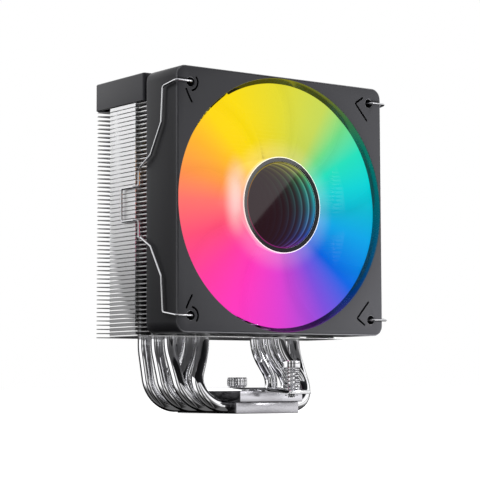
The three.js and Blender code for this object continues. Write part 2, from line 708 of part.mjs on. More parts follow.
function fanGroup() {
  const group = new THREE.Group();
  group.position.set(0, FAN.frontY, FAN.centreZ);
  group.add(piece("fan_frame", fanFrame(), BLACK_PLASTIC));
  for (const [name, x, z] of CORNERS) {
    const pad = piece(`rear_pad_${name}`, rearPad(), RUBBER);
    pad.position.set(x * FAN.hole, 0, z * FAN.hole);
    group.add(pad);
  }
  group.add(...rotorPieces(), ...statorPieces());
  return group;
}

// ---------------------------------------------------------------- the whole cooler

const cooler = new THREE.Group();
const plug = box(
  LEAD.x - PLUG.halfWidth,
  LEAD.x + PLUG.halfWidth,
  LEAD.endY - PLUG.length,
  LEAD.endY,
  LEAD.bottom - PLUG.halfHeight,
  LEAD.bottom + PLUG.halfHeight,
);
cooler.add(
  baseGroup(),
  piece("fin_stack", finStack(), ALUMINIUM),
  piece("top_cover", topCover(), COVER_PAINT),
  barGroup(),
  fanGroup(),
  piece("left_wire_clip", wireClip(-1), STEEL),
  piece("right_wire_clip", wireClip(1), STEEL),
  piece("fan_lead", fanLead(), CABLE),
  piece("fan_plug", plug, CABLE),
);

export default cooler;
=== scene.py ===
"""Looks of a 120 mm tower cooler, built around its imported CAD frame."""

import functools
import math

import bmesh
import bpy
from mathutils import Matrix, Vector
from mathutils.geometry import delaunay_2d_cdt


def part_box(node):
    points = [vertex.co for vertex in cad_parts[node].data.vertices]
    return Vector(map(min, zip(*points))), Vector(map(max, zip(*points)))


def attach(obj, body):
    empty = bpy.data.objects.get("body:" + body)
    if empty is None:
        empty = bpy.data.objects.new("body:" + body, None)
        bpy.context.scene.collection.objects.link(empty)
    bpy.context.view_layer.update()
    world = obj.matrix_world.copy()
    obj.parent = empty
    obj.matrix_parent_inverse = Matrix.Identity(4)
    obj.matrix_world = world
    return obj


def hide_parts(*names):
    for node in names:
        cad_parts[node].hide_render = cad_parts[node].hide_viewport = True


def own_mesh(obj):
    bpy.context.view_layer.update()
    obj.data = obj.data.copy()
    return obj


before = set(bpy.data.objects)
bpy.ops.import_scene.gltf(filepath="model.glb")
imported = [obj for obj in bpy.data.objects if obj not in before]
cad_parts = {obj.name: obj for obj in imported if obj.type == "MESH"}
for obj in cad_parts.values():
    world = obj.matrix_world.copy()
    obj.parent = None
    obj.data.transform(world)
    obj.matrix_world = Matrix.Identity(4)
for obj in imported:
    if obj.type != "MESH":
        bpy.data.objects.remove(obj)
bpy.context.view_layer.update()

MM = 0.001
TURN = 2 * math.pi


def box_mm(node):
    low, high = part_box(node)
    return low / MM, high / MM


# ---------------------------------------------------------------- shader helpers


def screen(red, green, blue):
    """A colour given as it shows on a screen, 0 to 255, as linear light."""

    def one(value):
        value /= 255
        return value / 12.92 if value <= 0.04045 else ((value + 0.055) / 1.055) ** 2.4

    return (one(red), one(green), one(blue), 1.0)


class Term:
    """A node's output that can be used in arithmetic."""

    def __init__(self, shade, socket):
        self.shade = shade
        self.socket = socket

    def __add__(self, other):
        return self.shade.math("ADD", self, other)

    def __radd__(self, other):
        return self.shade.math("ADD", other, self)

    def __sub__(self, other):
        return self.shade.math("SUBTRACT", self, other)

    def __rsub__(self, other):
        return self.shade.math("SUBTRACT", other, self)

    def __mul__(self, other):
        return self.shade.math("MULTIPLY", self, other)

    def __rmul__(self, other):
        return self.shade.math("MULTIPLY", other, self)

    def __truediv__(self, other):
        return self.shade.math("DIVIDE", self, other)


class Shade:
    """A node tree with short ways to add nodes to it."""

    def __init__(self, tree):
        self.tree = tree
        self.tree.nodes.clear()

    def feed(self, socket, value):
        if isinstance(value, Term):
            value = value.socket
        if isinstance(value, bpy.types.NodeSocket):
            self.tree.links.new(value, socket)
        else:
            socket.default_value = value

    def node(self, kind, inputs=None, **settings):
        made = self.tree.nodes.new("ShaderNode" + kind)
        for key, value in settings.items():
            setattr(made, key, value)
        for key, value in (inputs or {}).items():
            self.feed(made.inputs[key], value)
        return made

    def math(self, operation, *values):
        made = self.tree.nodes.new("ShaderNodeMath")
        made.operation = operation
        for socket, value in zip(made.inputs, values):
            self.feed(socket, value)
        return Term(self, made.outputs[0])

    def ramp(self, value, low, high, to_low=0.0, to_high=1.0):
        """value carried from low..high to to_low..to_high, eased and clamped."""
        made = self.node("MapRange", interpolation_type="SMOOTHSTEP")
        for index, entry in enumerate((value, low, high, to_low, to_high)):
            self.feed(made.inputs[index], entry)
        return Term(self, made.outputs[0])

    def split(self, socket):
        made = self.node("SeparateXYZ", {0: socket})
        return [Term(self, out) for out in made.outputs]

    def noise(self, scale, detail=2.0, vector=None):
        if vector is None:
            vector = self.node("TexCoord").outputs["Object"]
        mapped = self.node("Mapping", {"Vector": vector, "Scale": scale})
        made = self.node("TexNoise", {"Vector": mapped.outputs[0], "Scale": 1.0, "Detail": detail})
        return Term(self, made.outputs[0])

    def mix(self, share, first, second):
        made = self.node("Mix", data_type="RGBA")
        for key, entry in ((0, share), (6, first), (7, second)):
            self.feed(made.inputs[key], entry)
        return made.outputs[2]

    def scaled(self, colour, factor):
        made = self.node("VectorMath", {0: colour}, operation="SCALE")
        self.feed(made.inputs["Scale"], factor)
        return made.outputs[0]

    def surface(self, shader):
        out = self.tree.nodes.new("ShaderNodeOutputMaterial")
        self.tree.links.new(shader, out.inputs["Surface"])


def new_material(name):
    made = bpy.data.materials.new(name)
    made.use_nodes = True
    return made, Shade(made.node_tree)


def finish(name, colour, roughness, metallic=0.0, grain=(900, 900, 900), bump=0.02, tint=0.05,
           spread=0.06, edge_wear_and_sheen=0.0, shadow=0.0, cloud=60.0, specular=0.5, duct=False, lower_shade=0.0, ends=0.0):
    """A surface with fine grain along chosen axes, slow cloudy changes of tone, and lighter edges, partly wear and
    partly a painted highlight.

    With shadow, a reach in metres, corners that hardly see the sky are darker: painted shade.
    With dull, a share, the lower part of a tall piece is darker; with ends, its left and right faces are. Both are
    painted shade.
    With duct, the rounded outer rims carry a painted highlight, and the air duct's wall is polished and carries a
    painted glow of the blades' light."""
    made, shade = new_material(name)
    fine = shade.noise(grain, 3.0)
    slow = shade.noise((cloud, cloud, cloud), 2.0)
    tone = 1.0 + (fine - 0.5) * (2 * tint) + (slow - 0.5) * (1.5 * tint)
    # Painted shade: darker towards the bottom.
    if lower_shade:
        height = shade.split(shade.node("NewGeometry").outputs["Position"])[2]
        tone = tone * shade.ramp(height, 0.03, 0.1, 1.0 - lower_shade, 1.0)
    # Painted shade: the left and right faces are darker.
    if ends:
        sideways = shade.math("ABSOLUTE", shade.split(shade.node("NewGeometry").outputs["Normal"])[0])
        tone = tone * shade.ramp(sideways, 0.6, 0.95, 1.0, 1.0 - ends)
    colour_out = shade.scaled(colour[:3], tone)
    # Lighter edges: partly edge wear, partly a painted highlight where light catches the rounding.
    if edge_wear_and_sheen:
        true_way = shade.node("NewGeometry").outputs["Normal"]
        round_way = shade.node("Bevel", {"Radius": 0.0006}, samples=3).outputs[0]
        agree = shade.node("VectorMath", {0: true_way, 1: round_way}, operation="DOT_PRODUCT").outputs["Value"]
        edge = shade.ramp(Term(shade, agree) + (fine - 0.5) * 0.1, 0.97, 0.75, 0.0, edge_wear_and_sheen)
        colour_out = shade.mix(edge, colour_out, (0.4, 0.4, 0.41, 1.0))
    # Painted shade in corners that hardly see the sky.
    if shadow:
        hidden = shade.node("AmbientOcclusion", {"Distance": shadow}, samples=4).outputs["AO"]
        colour_out = shade.scaled(colour_out, shade.ramp(hidden, 0.15, 0.36, 0.08, 1.0))
    rough = roughness + (fine - 0.5) * (2 * spread) + (slow - 0.5) * spread
    glow = {}
    if duct:
        place_x, place_y, place_z = fan_place(shade)
        within = shade.ramp(radius_of(shade, place_x, place_z), DUCT_EDGE + 0.15, DUCT_EDGE - 0.15)
        across = shade.split(shade.node("NewGeometry").outputs["Normal"])[1]
        facing = shade.math("ABSOLUTE", across)
        rounding = shade.ramp(facing, 0.08, 0.35) * shade.ramp(facing, 0.97, 0.8) * (1.0 - within)
        # Painted highlight on the rounded outer rims.
        colour_out = shade.mix(rounding * RIM_HIGHLIGHT, colour_out, (0.4, 0.4, 0.42, 1.0))
        polish = within * shade.ramp(facing, 0.9, 0.6)
        colour_out = shade.mix(polish, colour_out, (0.17, 0.17, 0.17, 1.0))
        metallic = polish
        rough = rough - polish * 0.12
        # Painted glow: the blades' light on the duct wall.
        glow = {"Emission Color": wheel_colour(shade, place_x, place_z), "Emission Strength": polish * SPILL}
    relief = shade.node("Bump", {"Strength": bump, "Distance": 0.0004, "Height": fine})
    body = shade.node("BsdfPrincipled", {
        "Base Color": colour_out, "Metallic": metallic, "Roughness": rough,
        "Normal": relief.outputs[0], "Specular IOR Level": specular, **glow,
    })
    shade.surface(body.outputs[0])
    return made


# ---------------------------------------------------------------- materials

FAN_LOW, FAN_HIGH = box_mm("fan_frame")
FAN_Z = (FAN_LOW.z + FAN_HIGH.z) / 2
FAN_FRONT = FAN_LOW.y
DUCT_EDGE = 59.4
# Share of the painted highlight on the fan frame's rounded rims.
RIM_HIGHLIGHT = 0.4
# Strength of the painted glow of the blades' light on the duct wall.
SPILL = 0.07
RING_LOW, RING_HIGH = box_mm("hub_ring")

# The light's colours around the fan, from the left over the bottom, the right and the top, back to the left.
WHEEL = [
    (0.00, screen(255, 116, 108)),
    (0.05, screen(255, 78, 120)),
    (0.11, screen(255, 60, 160)),
    (0.17, screen(255, 56, 188)),
    (0.25, screen(220, 62, 206)),
    (0.33, screen(124, 76, 216)),
    (0.385, screen(0, 98, 222)),
    (0.42, screen(0, 130, 222)),
    (0.46, screen(0, 160, 225)),
    (0.50, screen(0, 178, 205)),
    (0.54, screen(0, 206, 208)),
    (0.585, screen(30, 219, 184)),
    (0.625, screen(110, 217, 135)),
    (0.667, screen(196, 214, 86)),
    (0.75, screen(226, 217, 46)),
    (0.83, screen(250, 220, 6)),
    (0.875, screen(255, 216, 12)),
    (0.917, screen(255, 182, 44)),
    (0.96, screen(255, 152, 72)),
    (1.00, screen(255, 116, 108)),
]


def wheel_colour(shade, x, z):
    """Colour of the light at a place around the fan's axis."""
    share = shade.math("ARCTAN2", z, x) / TURN + 0.5
    ramp = shade.node("ValToRGB", {"Fac": share})
    stops = ramp.color_ramp.elements
    stops[0].position, stops[0].color = WHEEL[0]
    stops[1].position, stops[1].color = WHEEL[-1]
    for place, colour in WHEEL[1:-1]:
        stops.new(place).color = colour
    return ramp.outputs["Color"]


def fan_place(shade):
    """Position from the fan's axis in mm, as x, depth behind the fan's front, and z."""
    x, y, z = shade.split(shade.node("NewGeometry").outputs["Position"])
    return x / MM, y / MM - FAN_FRONT, z / MM - FAN_Z


def radius_of(shade, x, z):
    return shade.math("SQRT", x * x + z * z)


def blade_material():
    made, shade = new_material("lit_blade")
    x, _, z = fan_place(shade)
    radius = radius_of(shade, x, z)
    colour = wheel_colour(shade, x, z)
    chord = Term(shade, shade.node("Attribute", attribute_name="chord").outputs["Fac"])
    glow_x = x + 25.0
    glow_z = z - 3.0
    glow = shade.ramp(shade.math("SQRT", glow_x * glow_x * 3.2 + glow_z * glow_z * 0.5), 15.0, 1.0, 0.0, 0.55)
    glow = glow + shade.ramp(radius, 33.0, 23.0, 0.0, 0.12)
    colour = shade.mix(glow, colour, (1.0, 0.86, 0.82, 1.0))
    edge = shade.ramp(chord, 0.0, 0.26) * shade.ramp(chord, 1.0, 0.85)
    frost = shade.noise((500, 500, 500), 3.0)
    # Painted shading: each blade glows a little less towards its edges.
    strength = (0.86 + 0.1 * edge) * (0.985 + 0.03 * frost)
    relief = shade.node("Bump", {"Strength": 0.05, "Distance": 0.0003, "Height": frost})
    body = shade.node("BsdfPrincipled", {
        "Base Color": shade.scaled(colour, 0.04), "Roughness": 0.35 + 0.1 * frost, "Specular IOR Level": 0.08,
        "Emission Color": colour, "Emission Strength": strength, "Normal": relief.outputs[0],
    })
    clear = shade.node("BsdfTransparent")
    solid = shade.ramp(radius, 46.0, 30.0, 0.92, 0.78)
    share = shade.ramp(edge, 0.0, 1.0, 0.04, solid)
    blend = shade.node("MixShader", {0: share, 1: clear.outputs[0], 2: body.outputs[0]})
    shade.surface(blend.outputs[0])
    return made


def lit_material(name, whiteness, strength):
    """A diffuser lit from inside in the colour of its place around the fan's axis."""
    made, shade = new_material(name)
    x, _, z = fan_place(shade)
    frost = shade.noise((700, 700, 700), 2.0)
    colour = shade.mix(whiteness, wheel_colour(shade, x, z), (1.0, 0.98, 0.93, 1.0))
    body = shade.node("BsdfPrincipled", {
        "Base Color": shade.scaled(colour, 0.3), "Roughness": 0.3 + 0.1 * frost,
        "Emission Color": colour, "Emission Strength": strength * (0.96 + 0.08 * frost),
    })
    shade.surface(body.outputs[0])
    return made


def window_material():
    """A half-silvered window over a mirror: the light ring's images recede behind it like the walls of a tunnel, as a
    painted reflection given as glow.
    """
    made, shade = new_material("dark_glass")
    x, _, z = fan_place(shade)
    view_x, view_y, view_z = shade.split(shade.node("NewGeometry").outputs["Incoming"])
    into = shade.math("MAXIMUM", view_y * -1.0, 0.05)
    slope_x = view_x * -1.0 / into
    slope_z = view_z * -1.0 / into
    tunnel = 20.1
    spacing = 5.2
    a = shade.math("MAXIMUM", slope_x * slope_x + slope_z * slope_z, 0.002)
    b = x * slope_x + z * slope_z
    c = x * x + z * z - tunnel * tunnel
    root = shade.math("SQRT", shade.math("MAXIMUM", b * b - a * c, 0.0))
    depth = shade.math("MAXIMUM", (root - b) / a, 0.0)
    hit_x = x + slope_x * depth
    hit_z = z + slope_z * depth
    fade = shade.math("EXPONENT", depth * (-1 / 6.2))
    phase = shade.math("FRACT", depth / spacing + 0.12)
    line = shade.ramp(shade.math("ABSOLUTE", phase - 0.12), 0.12, 0.02)
    wall = shade.ramp(phase, 0.9, 0.12, 0.14, 0.62)
    colour = shade.mix(0.14 * line, wheel_colour(shade, hit_x, hit_z), (0.9, 0.85, 0.8, 1.0))
    radius = radius_of(shade, x, z)
    inside = shade.ramp(radius, tunnel - 0.35, tunnel - 0.5)
    rim = shade.ramp(radius, tunnel - 0.6, tunnel - 0.4) * shade.ramp(radius, tunnel + 0.05, tunnel - 0.1)
    colour = shade.mix(rim, colour, wheel_colour(shade, x, z))
    dust = shade.noise((2500, 2500, 2500), 2.0)
    # The tunnel of images and its bright rim are painted reflections, given as emission.
    body = shade.node("BsdfPrincipled", {
        "Base Color": (0.012, 0.004, 0.006, 1.0), "Roughness": 0.015 + 0.02 * dust, "Specular IOR Level": 0.045,
        "Emission Color": colour, "Emission Strength": (line * 0.28 + wall) * fade * inside * 1.2 + rim * 0.22,
    })
    shade.surface(body.outputs[0])
    return made


PAINT = {
    "nickel": finish("nickel", (0.96, 0.96, 0.98), 0.03, 1.0, (500, 500, 40), 0.0, 0.02, 0.015, shadow=0.0015),
    # The fins are darker towards the bottom: painted shade.
    "fins": finish("fin_aluminium", (0.95, 0.95, 0.96), 0.3, 0.55, (300, 2600, 2600), 0.03, 0.04, 0.06,
                   lower_shade=0.5),
    "cover": finish("cover_paint", (0.03, 0.03, 0.035), 0.36, 0.0, (1500, 1500, 1500), 0.04, 0.06, 0.05, 0.25,
                    specular=0.3),
    "frame": finish("fan_plastic", (0.03, 0.03, 0.033), 0.38, 0.0, (1300, 1300, 1300), 0.05, 0.06, 0.05,
                    specular=0.13, duct=True),
    "rubber": finish("rubber", (0.014, 0.014, 0.015), 0.75, 0.0, (1800, 1800, 1800), 0.12, 0.08, 0.08),
    "wire": finish("spring_steel", (0.7, 0.7, 0.72), 0.14, 1.0, (900, 900, 900), 0.01, 0.04, 0.04),
    "bar": finish("bar_steel", (0.95, 0.95, 0.97), 0.06, 1.0, (2400, 160, 2400), 0.004, 0.03, 0.02),
    # The base's left and right faces and its corners are darkened: painted shade.
    "base": finish("base_metal", (0.84, 0.83, 0.88), 0.2, 1.0, (160, 2600, 2600), 0.01, 0.02, 0.02, shadow=0.02,
                   ends=0.85),
    "knob": finish("turned_steel", (0.92, 0.92, 0.94), 0.06, 1.0, (900, 900, 3000), 0.01, 0.05, 0.03, shadow=0.001),
    "motor": finish("motor_steel", (0.48, 0.48, 0.50), 0.32, 1.0, (700, 2400, 700), 0.03, 0.06, 0.06),
    "magnet": finish("magnet", (0.06, 0.055, 0.055), 0.6, 0.3, (1600, 1600, 1600), 0.1, 0.1, 0.08),
    "copper": finish("copper", (0.72, 0.30, 0.15), 0.28, 1.0, (4000, 400, 400), 0.3, 0.1, 0.06),
    "brass": finish("brass", (0.72, 0.52, 0.22), 0.28, 1.0, (700, 2400, 700), 0.03, 0.06, 0.05),
    "board": finish("board", (0.02, 0.10, 0.04), 0.45, 0.0, (1200, 1200, 1200), 0.05, 0.15, 0.06),
    "mirror": finish("mirror", (0.92, 0.92, 0.95), 0.03, 1.0, (300, 300, 300), 0.0, 0.02, 0.02),
    "cable": finish("cable", (0.018, 0.018, 0.02), 0.55, 0.0, (1500, 1500, 1500), 0.15, 0.1, 0.06),
    "plug": finish("plug", (0.022, 0.022, 0.024), 0.4, 0.0, (1500, 1500, 1500), 0.05, 0.08, 0.05, 0.1),
    "band": finish("hub_band", (0.01, 0.01, 0.011), 0.06, 0.0, (900, 900, 900), 0.01, 0.05, 0.02, specular=0.12),
    "blade": blade_material(),
    "rim": lit_material("trim_white", 0.75, 0.8),
    "diffuser": lit_material("diffuser", 0.3, 0.9),
    "window": window_material(),
}

# ---------------------------------------------------------------- shapes: each is (corners in mm, faces, how many of the first faces are flat)


def along_z(u, v, w):
    return (u, v, w)


def along_y(u, v, w):
    return (u, w, v)


def along_x(u, v, w):
    return (w, u, v)


def circle(radius, u=0.0, v=0.0, sides=48, start=0.0):
    turns = [start + TURN * i / sides for i in range(sides)]
    return [(u + radius * math.cos(a), v + radius * math.sin(a)) for a in turns]


def rounded(half_u, half_v, radius, steps=8):
    corners = [(1, 1), (-1, 1), (-1, -1), (1, -1)]
    points = []
    for quarter, (su, sv) in enumerate(corners):
        for i in range(steps + 1):
            angle = math.pi / 2 * (quarter + i / steps)
            points.append((
                su * (half_u - radius) + radius * math.cos(angle),
                sv * (half_v - radius) + radius * math.sin(angle),
            ))
    return points


def stroke(points, width, cap=4):
    """The outline of a line of constant width with round ends."""
    line = [Vector(p) for p in points]
    half = width / 2
    sides = {1: [], -1: []}
    for i, here in enumerate(line):
        back = (here - line[i - 1]).normalized() if i else (line[1] - here).normalized()
        ahead = (line[i + 1] - here).normalized() if i + 1 < len(line) else back
        mean = (back + ahead).normalized()
        normal = Vector((-mean.y, mean.x))
        reach = half / max(mean.dot(back), 0.3)
        for side in sides:
            sides[side].append(here + normal * side * reach)
    outline = list(sides[1])
    for end, tip in ((line[-1], 1), (line[0], 0)):
        start = outline[-1] if tip else sides[-1][0]
        arm = start - end
        for k in range(1, cap):
            outline_angle = -math.pi * k / cap
            turned = Matrix.Rotation(outline_angle, 2) @ arm
            outline.append(end + turned)
        if tip:
            outline.extend(reversed(sides[-1]))
    return [tuple(p) for p in outline]


def signed_area(loop):
    return sum(a[0] * b[1] - b[0] * a[1] for a, b in zip(loop, loop[1:] + loop[:1])) / 2


def offset(loop, distance):
    """The outline grown by distance, or shrunk if it is negative, with mitred corners."""
    if signed_area(loop) < 0:
        distance = -distance
    grown = []
    for i, here in enumerate(loop):
        normals = []
        for a, b in ((loop[i - 1], here), (here, loop[(i + 1) % len(loop)])):
            length = math.hypot(b[0] - a[0], b[1] - a[1])
            normals.append(((b[1] - a[1]) / length, (a[0] - b[0]) / length))
        (ax, ay), (bx, by) = normals
        scale = distance / max(1 + ax * bx + ay * by, 0.3)
        grown.append((here[0] + (ax + bx) * scale, here[1] + (ay + by) * scale))
    return grown


@functools.lru_cache(maxsize=None)
def triangles(loops, cuts=()):
    """Triangles, as corner numbers, that fill the first loop around the others."""
    flat = [Vector(point) for loop in loops for point in loop]
    edges = list(cuts)
    first = 0
    for loop in loops:
        edges += [(first + i, first + (i + 1) % len(loop)) for i in range(len(loop))]
        first += len(loop)
    corners, _, faces, source, _, _ = delaunay_2d_cdt(flat, edges, [], 0, 1e-6)

    def inside(point):
        odd = False
        for loop in loops:
            for (ax, ay), (bx, by) in zip(loop, loop[1:] + loop[:1]):
                if (ay > point.y) != (by > point.y) and point.x < (bx - ax) * (point.y - ay) / (by - ay) + ax:
                    odd = not odd
        return odd

    kept = []
    for face in faces:
        if inside(sum((corners[i] for i in face), Vector((0, 0))) / len(face)):
            kept.append(tuple(source[i][0] for i in face))
    return kept


def slab(loops, low, high, place=along_z, soft=0.0, pockets=(), cuts=()):
    """A plate with holes and rounded rims. Pockets are (outline, depth) pairs sunk into its low side."""
    radii = list(soft) if isinstance(soft, (list, tuple)) else [soft] * len(loops)
    loops = [list(loop) for loop in loops]
    verts, caps, walls = [], [], []

    def add(loop, height):
        verts.extend(place(u, v, height) for u, v in loop)
        return len(verts) - len(loop)

    def quads(a, b, size):
        walls.extend((a + i, a + (i + 1) % size, b + (i + 1) % size, b + i) for i in range(size))

    rims = {low: [], high: []}
    for index, (loop, radius) in enumerate(zip(loops, radii)):
        inward = -1 if index == 0 else 1
        steps = 3 if radius else 0
        rows = [(0.0, 0.0)]
        if radius:
            angles = [math.pi / 2 * k / steps for k in range(steps + 1)]
            rows = [(radius * (1 - math.sin(a)), radius * (1 - math.cos(a))) for a in angles]
        starts = []
        for inset, height in rows:
            starts.append(add(offset(loop, inward * inset) if inset else loop, low + height))
        for inset, height in reversed(rows):
            starts.append(add(offset(loop, inward * inset) if inset else loop, high - height))
        for a, b in zip(starts, starts[1:]):
            quads(a, b, len(loop))
        edge = offset(loop, inward * rows[0][0]) if rows[0][0] else loop
        rims[low].append((edge, starts[0]))
        rims[high].append((edge, starts[-1]))
    for outline, depth in pockets:
        top = add(outline, low)
        floor = add(outline, low + depth)
        quads(top, floor, len(outline))
        rims[low].append((outline, top))
        caps.extend(tuple(floor + i for i in t) for t in triangles((tuple(outline),)))
    for level in (low, high):
        numbers = [start + i for outline, start in rims[level] for i in range(len(outline))]
        shape = tuple(tuple(outline) for outline, _ in rims[level])
        caps.extend(tuple(numbers[i] for i in t) for t in triangles(shape, tuple(cuts)))
    return verts, caps + walls, len(caps)


def eased(outline, radius, steps=3):
    """The outline with its outward corners rounded."""
    turn = 1 if signed_area(outline) > 0 else -1
    result = []
    for i, here in enumerate(outline):
        corner = Vector(here)
        back = Vector(outline[i - 1]) - corner
        ahead = Vector(outline[(i + 1) % len(outline)]) - corner
        room = min(back.length, ahead.length) / 2
        back.normalize()
        ahead.normalize()
        bend = turn * (ahead.x * back.y - ahead.y * back.x)
        if bend < 0.5 or room < radius:
            result.append(here)
            continue
        half = back.angle(ahead) / 2
        reach = min(radius / math.tan(half), room)
        middle = corner + (back + ahead).normalized() * (reach / math.cos(half))
        start = corner + back * reach - middle
        sweep = math.pi - 2 * half
        for k in range(steps + 1):
            arm = Matrix.Rotation(turn * sweep * k / steps, 2) @ start
            result.append(tuple(middle + arm))
    return result


def lathe(profile, place=along_z, centre=(0.0, 0.0), sides=64, closed=False):
    """A turned shape from (radius, height) pairs. A radius of 0 is a point on the axis."""
    verts = []
    rings = []
    for radius, height in profile:
        if radius == 0:
            rings.append([len(verts)])
            verts.append(place(centre[0], centre[1], height))
        else:
            rings.append(list(range(len(verts), len(verts) + sides)))
            verts.extend(place(u, v, height) for u, v in circle(radius, *centre, sides))
    pairs = list(zip(rings, rings[1:]))
    if closed:
        pairs.append((rings[-1], rings[0]))
    faces = []
    for lower, upper in pairs:
        for i in range(sides):
            j = (i + 1) % sides
            corners = [lower[i % len(lower)], lower[j % len(lower)], upper[j % len(upper)], upper[i % len(upper)]]
            unique = list(dict.fromkeys(corners))
            if len(unique) > 2:
                faces.append(tuple(unique))
    return verts, faces, 0


def skin(loops, ends=True):
    """Faces between loops of equal length, with both ends closed."""
    size = len(loops[0])
    verts = [tuple(p) for loop in loops for p in loop]
    faces = []
    for k in range(len(loops) - 1):
        for i in range(size):
            j = (i + 1) % size
            faces.append((k * size + i, k * size + j, (k + 1) * size + j, (k + 1) * size + i))
    if ends:
        faces.append(tuple(range(size - 1, -1, -1)))
        last = (len(loops) - 1) * size
        faces.append(tuple(range(last, last + size)))
    return verts, faces, 0


def rounded_path(corners, radii, steps):
    at = [Vector(corner) for corner in corners]
    path = [at[0]]
    for i, radius in enumerate(radii, 1):
        back = (at[i - 1] - at[i]).normalized()
        ahead = (at[i + 1] - at[i]).normalized()
        half = back.angle(ahead) / 2
        centre = at[i] + (back + ahead).normalized() * (radius / math.sin(half))
        start = at[i] + back * (radius / math.tan(half)) - centre
        end = at[i] + ahead * (radius / math.tan(half)) - centre
        sweep = math.pi - 2 * half
        for k in range(steps + 1):
            share = k / steps
            arm = start * math.sin((1 - share) * sweep) + end * math.sin(share * sweep)
            path.append(centre + arm / math.sin(sweep))
    path.append(at[-1])
    return path


def tube(path, radius, sides=24, round_ends=True):
    tangents = []
    for i, _ in enumerate(path):
        before = path[max(i - 1, 0)]
        after = path[min(i + 1, len(path) - 1)]
        tangents.append((after - before).normalized())
    normal = tangents[0].orthogonal().normalized()
    loops = []

    def loop_at(point, tangent, size):
        side = tangent.cross(normal)
        return [point + (normal * math.cos(a) + side * math.sin(a)) * size for a in (TURN * i / sides for i in range(sides))]

    for i, (point, tangent) in enumerate(zip(path, tangents)):
        if i:
            normal = tangents[i - 1].rotation_difference(tangent) @ normal
        if i == 0 and round_ends:
            loops.append(loop_at(point, tangent, radius * 0.55))
            loops.append(loop_at(point + tangent * radius * 0.25, tangent, radius * 0.9))
            loops.append(loop_at(point + tangent * radius * 0.6, tangent, radius))
            continue
        if i == len(path) - 1 and round_ends:
            loops.append(loop_at(point - tangent * radius * 0.6, tangent, radius))
            loops.append(loop_at(point - tangent * radius * 0.25, tangent, radius * 0.9))
            loops.append(loop_at(point, tangent, radius * 0.55))
            continue
        loops.append(loop_at(point, tangent, radius))
    return skin(loops)


def make(name, shapes, paint, body, nodes=(), smooth=32):
    """One object from shapes in mm, on a body, standing for CAD nodes."""
    verts, faces, flats = [], [], []
    for corners, polygons, flat_count in shapes:
        base = len(verts)
        verts.extend(tuple(c * MM for c in corner) for corner in corners)
        faces.extend(tuple(base + i for i in polygon) for polygon in polygons)
        flats.extend(k < flat_count for k in range(len(polygons)))
    mesh = bpy.data.meshes.new(name)
    mesh.from_pydata(verts, [], faces)
    whole = bmesh.new()
    whole.from_mesh(mesh)
    bmesh.ops.recalc_face_normals(whole, faces=whole.faces)
    for face, flat in zip(whole.faces, flats):
        face.smooth = not flat
    whole.to_mesh(mesh)
    whole.free()
    mesh.set_sharp_from_angle(angle=math.radians(smooth))
    mesh.materials.append(PAINT[paint])
    made = bpy.data.objects.new(name, mesh)
    bpy.context.scene.collection.objects.link(made)
    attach(made, body)
    if nodes:
        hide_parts(*nodes)
    return made


# ---------------------------------------------------------------- base and heat pipes

PLATE_LOW, PLATE_HIGH = box_mm("cold_plate")
BLOCK_LOW, BLOCK_HIGH = box_mm("base_block")
PIPE_RADIUS = 3.0
PIPE_AXIS_Z = 3.5
FOOT_PITCH, FOOT_SHIFT = 6.9, 1.0
GROOVE = PIPE_RADIUS + 0.04
BEND_TOP = 30.0
BEND_RADIUS = 22.0
OUTER_CORNER, OUTER_FOOT_RADIUS = 36.8, 13.0
INNER_CORNER, INNER_FOOT_RADIUS = 38.5, 11.0


def pipe_plan(index):
    """Where a pipe's foot and its legs stand."""
    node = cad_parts[f"heat_pipe_{index}"]
    corners = [v.co / MM for v in node.data.vertices]
    top = max(c.z for c in corners)
    end = [c for c in corners if c.z > top - 0.1 and c.x > 0]
    return {
        "foot_y": FOOT_SHIFT + (3.5 - index) * FOOT_PITCH,
        "leg_x": (min(c.x for c in end) + max(c.x for c in end)) / 2,
        "leg_y": (min(c.y for c in end) + max(c.y for c in end)) / 2,
        "top": top,
    }


PIPES = [pipe_plan(i) for i in range(1, 7)]
for number, plan in enumerate(PIPES, 1):
    outer = plan["leg_x"] > 30
    corner_x = OUTER_CORNER if outer else INNER_CORNER
    foot_radius = OUTER_FOOT_RADIUS if outer else INNER_FOOT_RADIUS
    half = [
        (plan["leg_x"], plan["leg_y"], plan["top"]),
        (plan["leg_x"], plan["leg_y"], BEND_TOP),
        (corner_x, plan["foot_y"], PIPE_AXIS_Z),
    ]
    ends = [(-x, y, z) for x, y, z in half] + half[::-1]
    path = rounded_path(ends, [BEND_RADIUS, foot_radius, foot_radius, BEND_RADIUS], 18)
    make(f"pipe_{number}", [tube(path, PIPE_RADIUS, 40)], "nickel", "cooler", [f"heat_pipe_{number}"], smooth=60)


def grooved(low, high, flat_z, far_z):
    """Side outline of a block whose face at flat_z has a round groove for each pipe."""
    dips = sorted(plan["foot_y"] for plan in PIPES)
    rise = flat_z - PIPE_AXIS_Z
    reach = math.sqrt(GROOVE**2 - rise**2)
    first = math.atan2(rise, -reach)
    last = math.atan2(rise, reach)
    if far_z < flat_z:
        span = -(TURN - (first - last))
        first, sweep = first, -span
    else:
        sweep = -(first - last)
    outline = [(low, far_z), (low, flat_z)]
    steps = 14
    for y in dips:
        for i in range(steps + 1):
            angle = first + sweep * i / steps
            outline.append((y + GROOVE * math.cos(angle), PIPE_AXIS_Z + GROOVE * math.sin(angle)))
    outline += [(high, flat_z), (high, far_z)]
    return outline


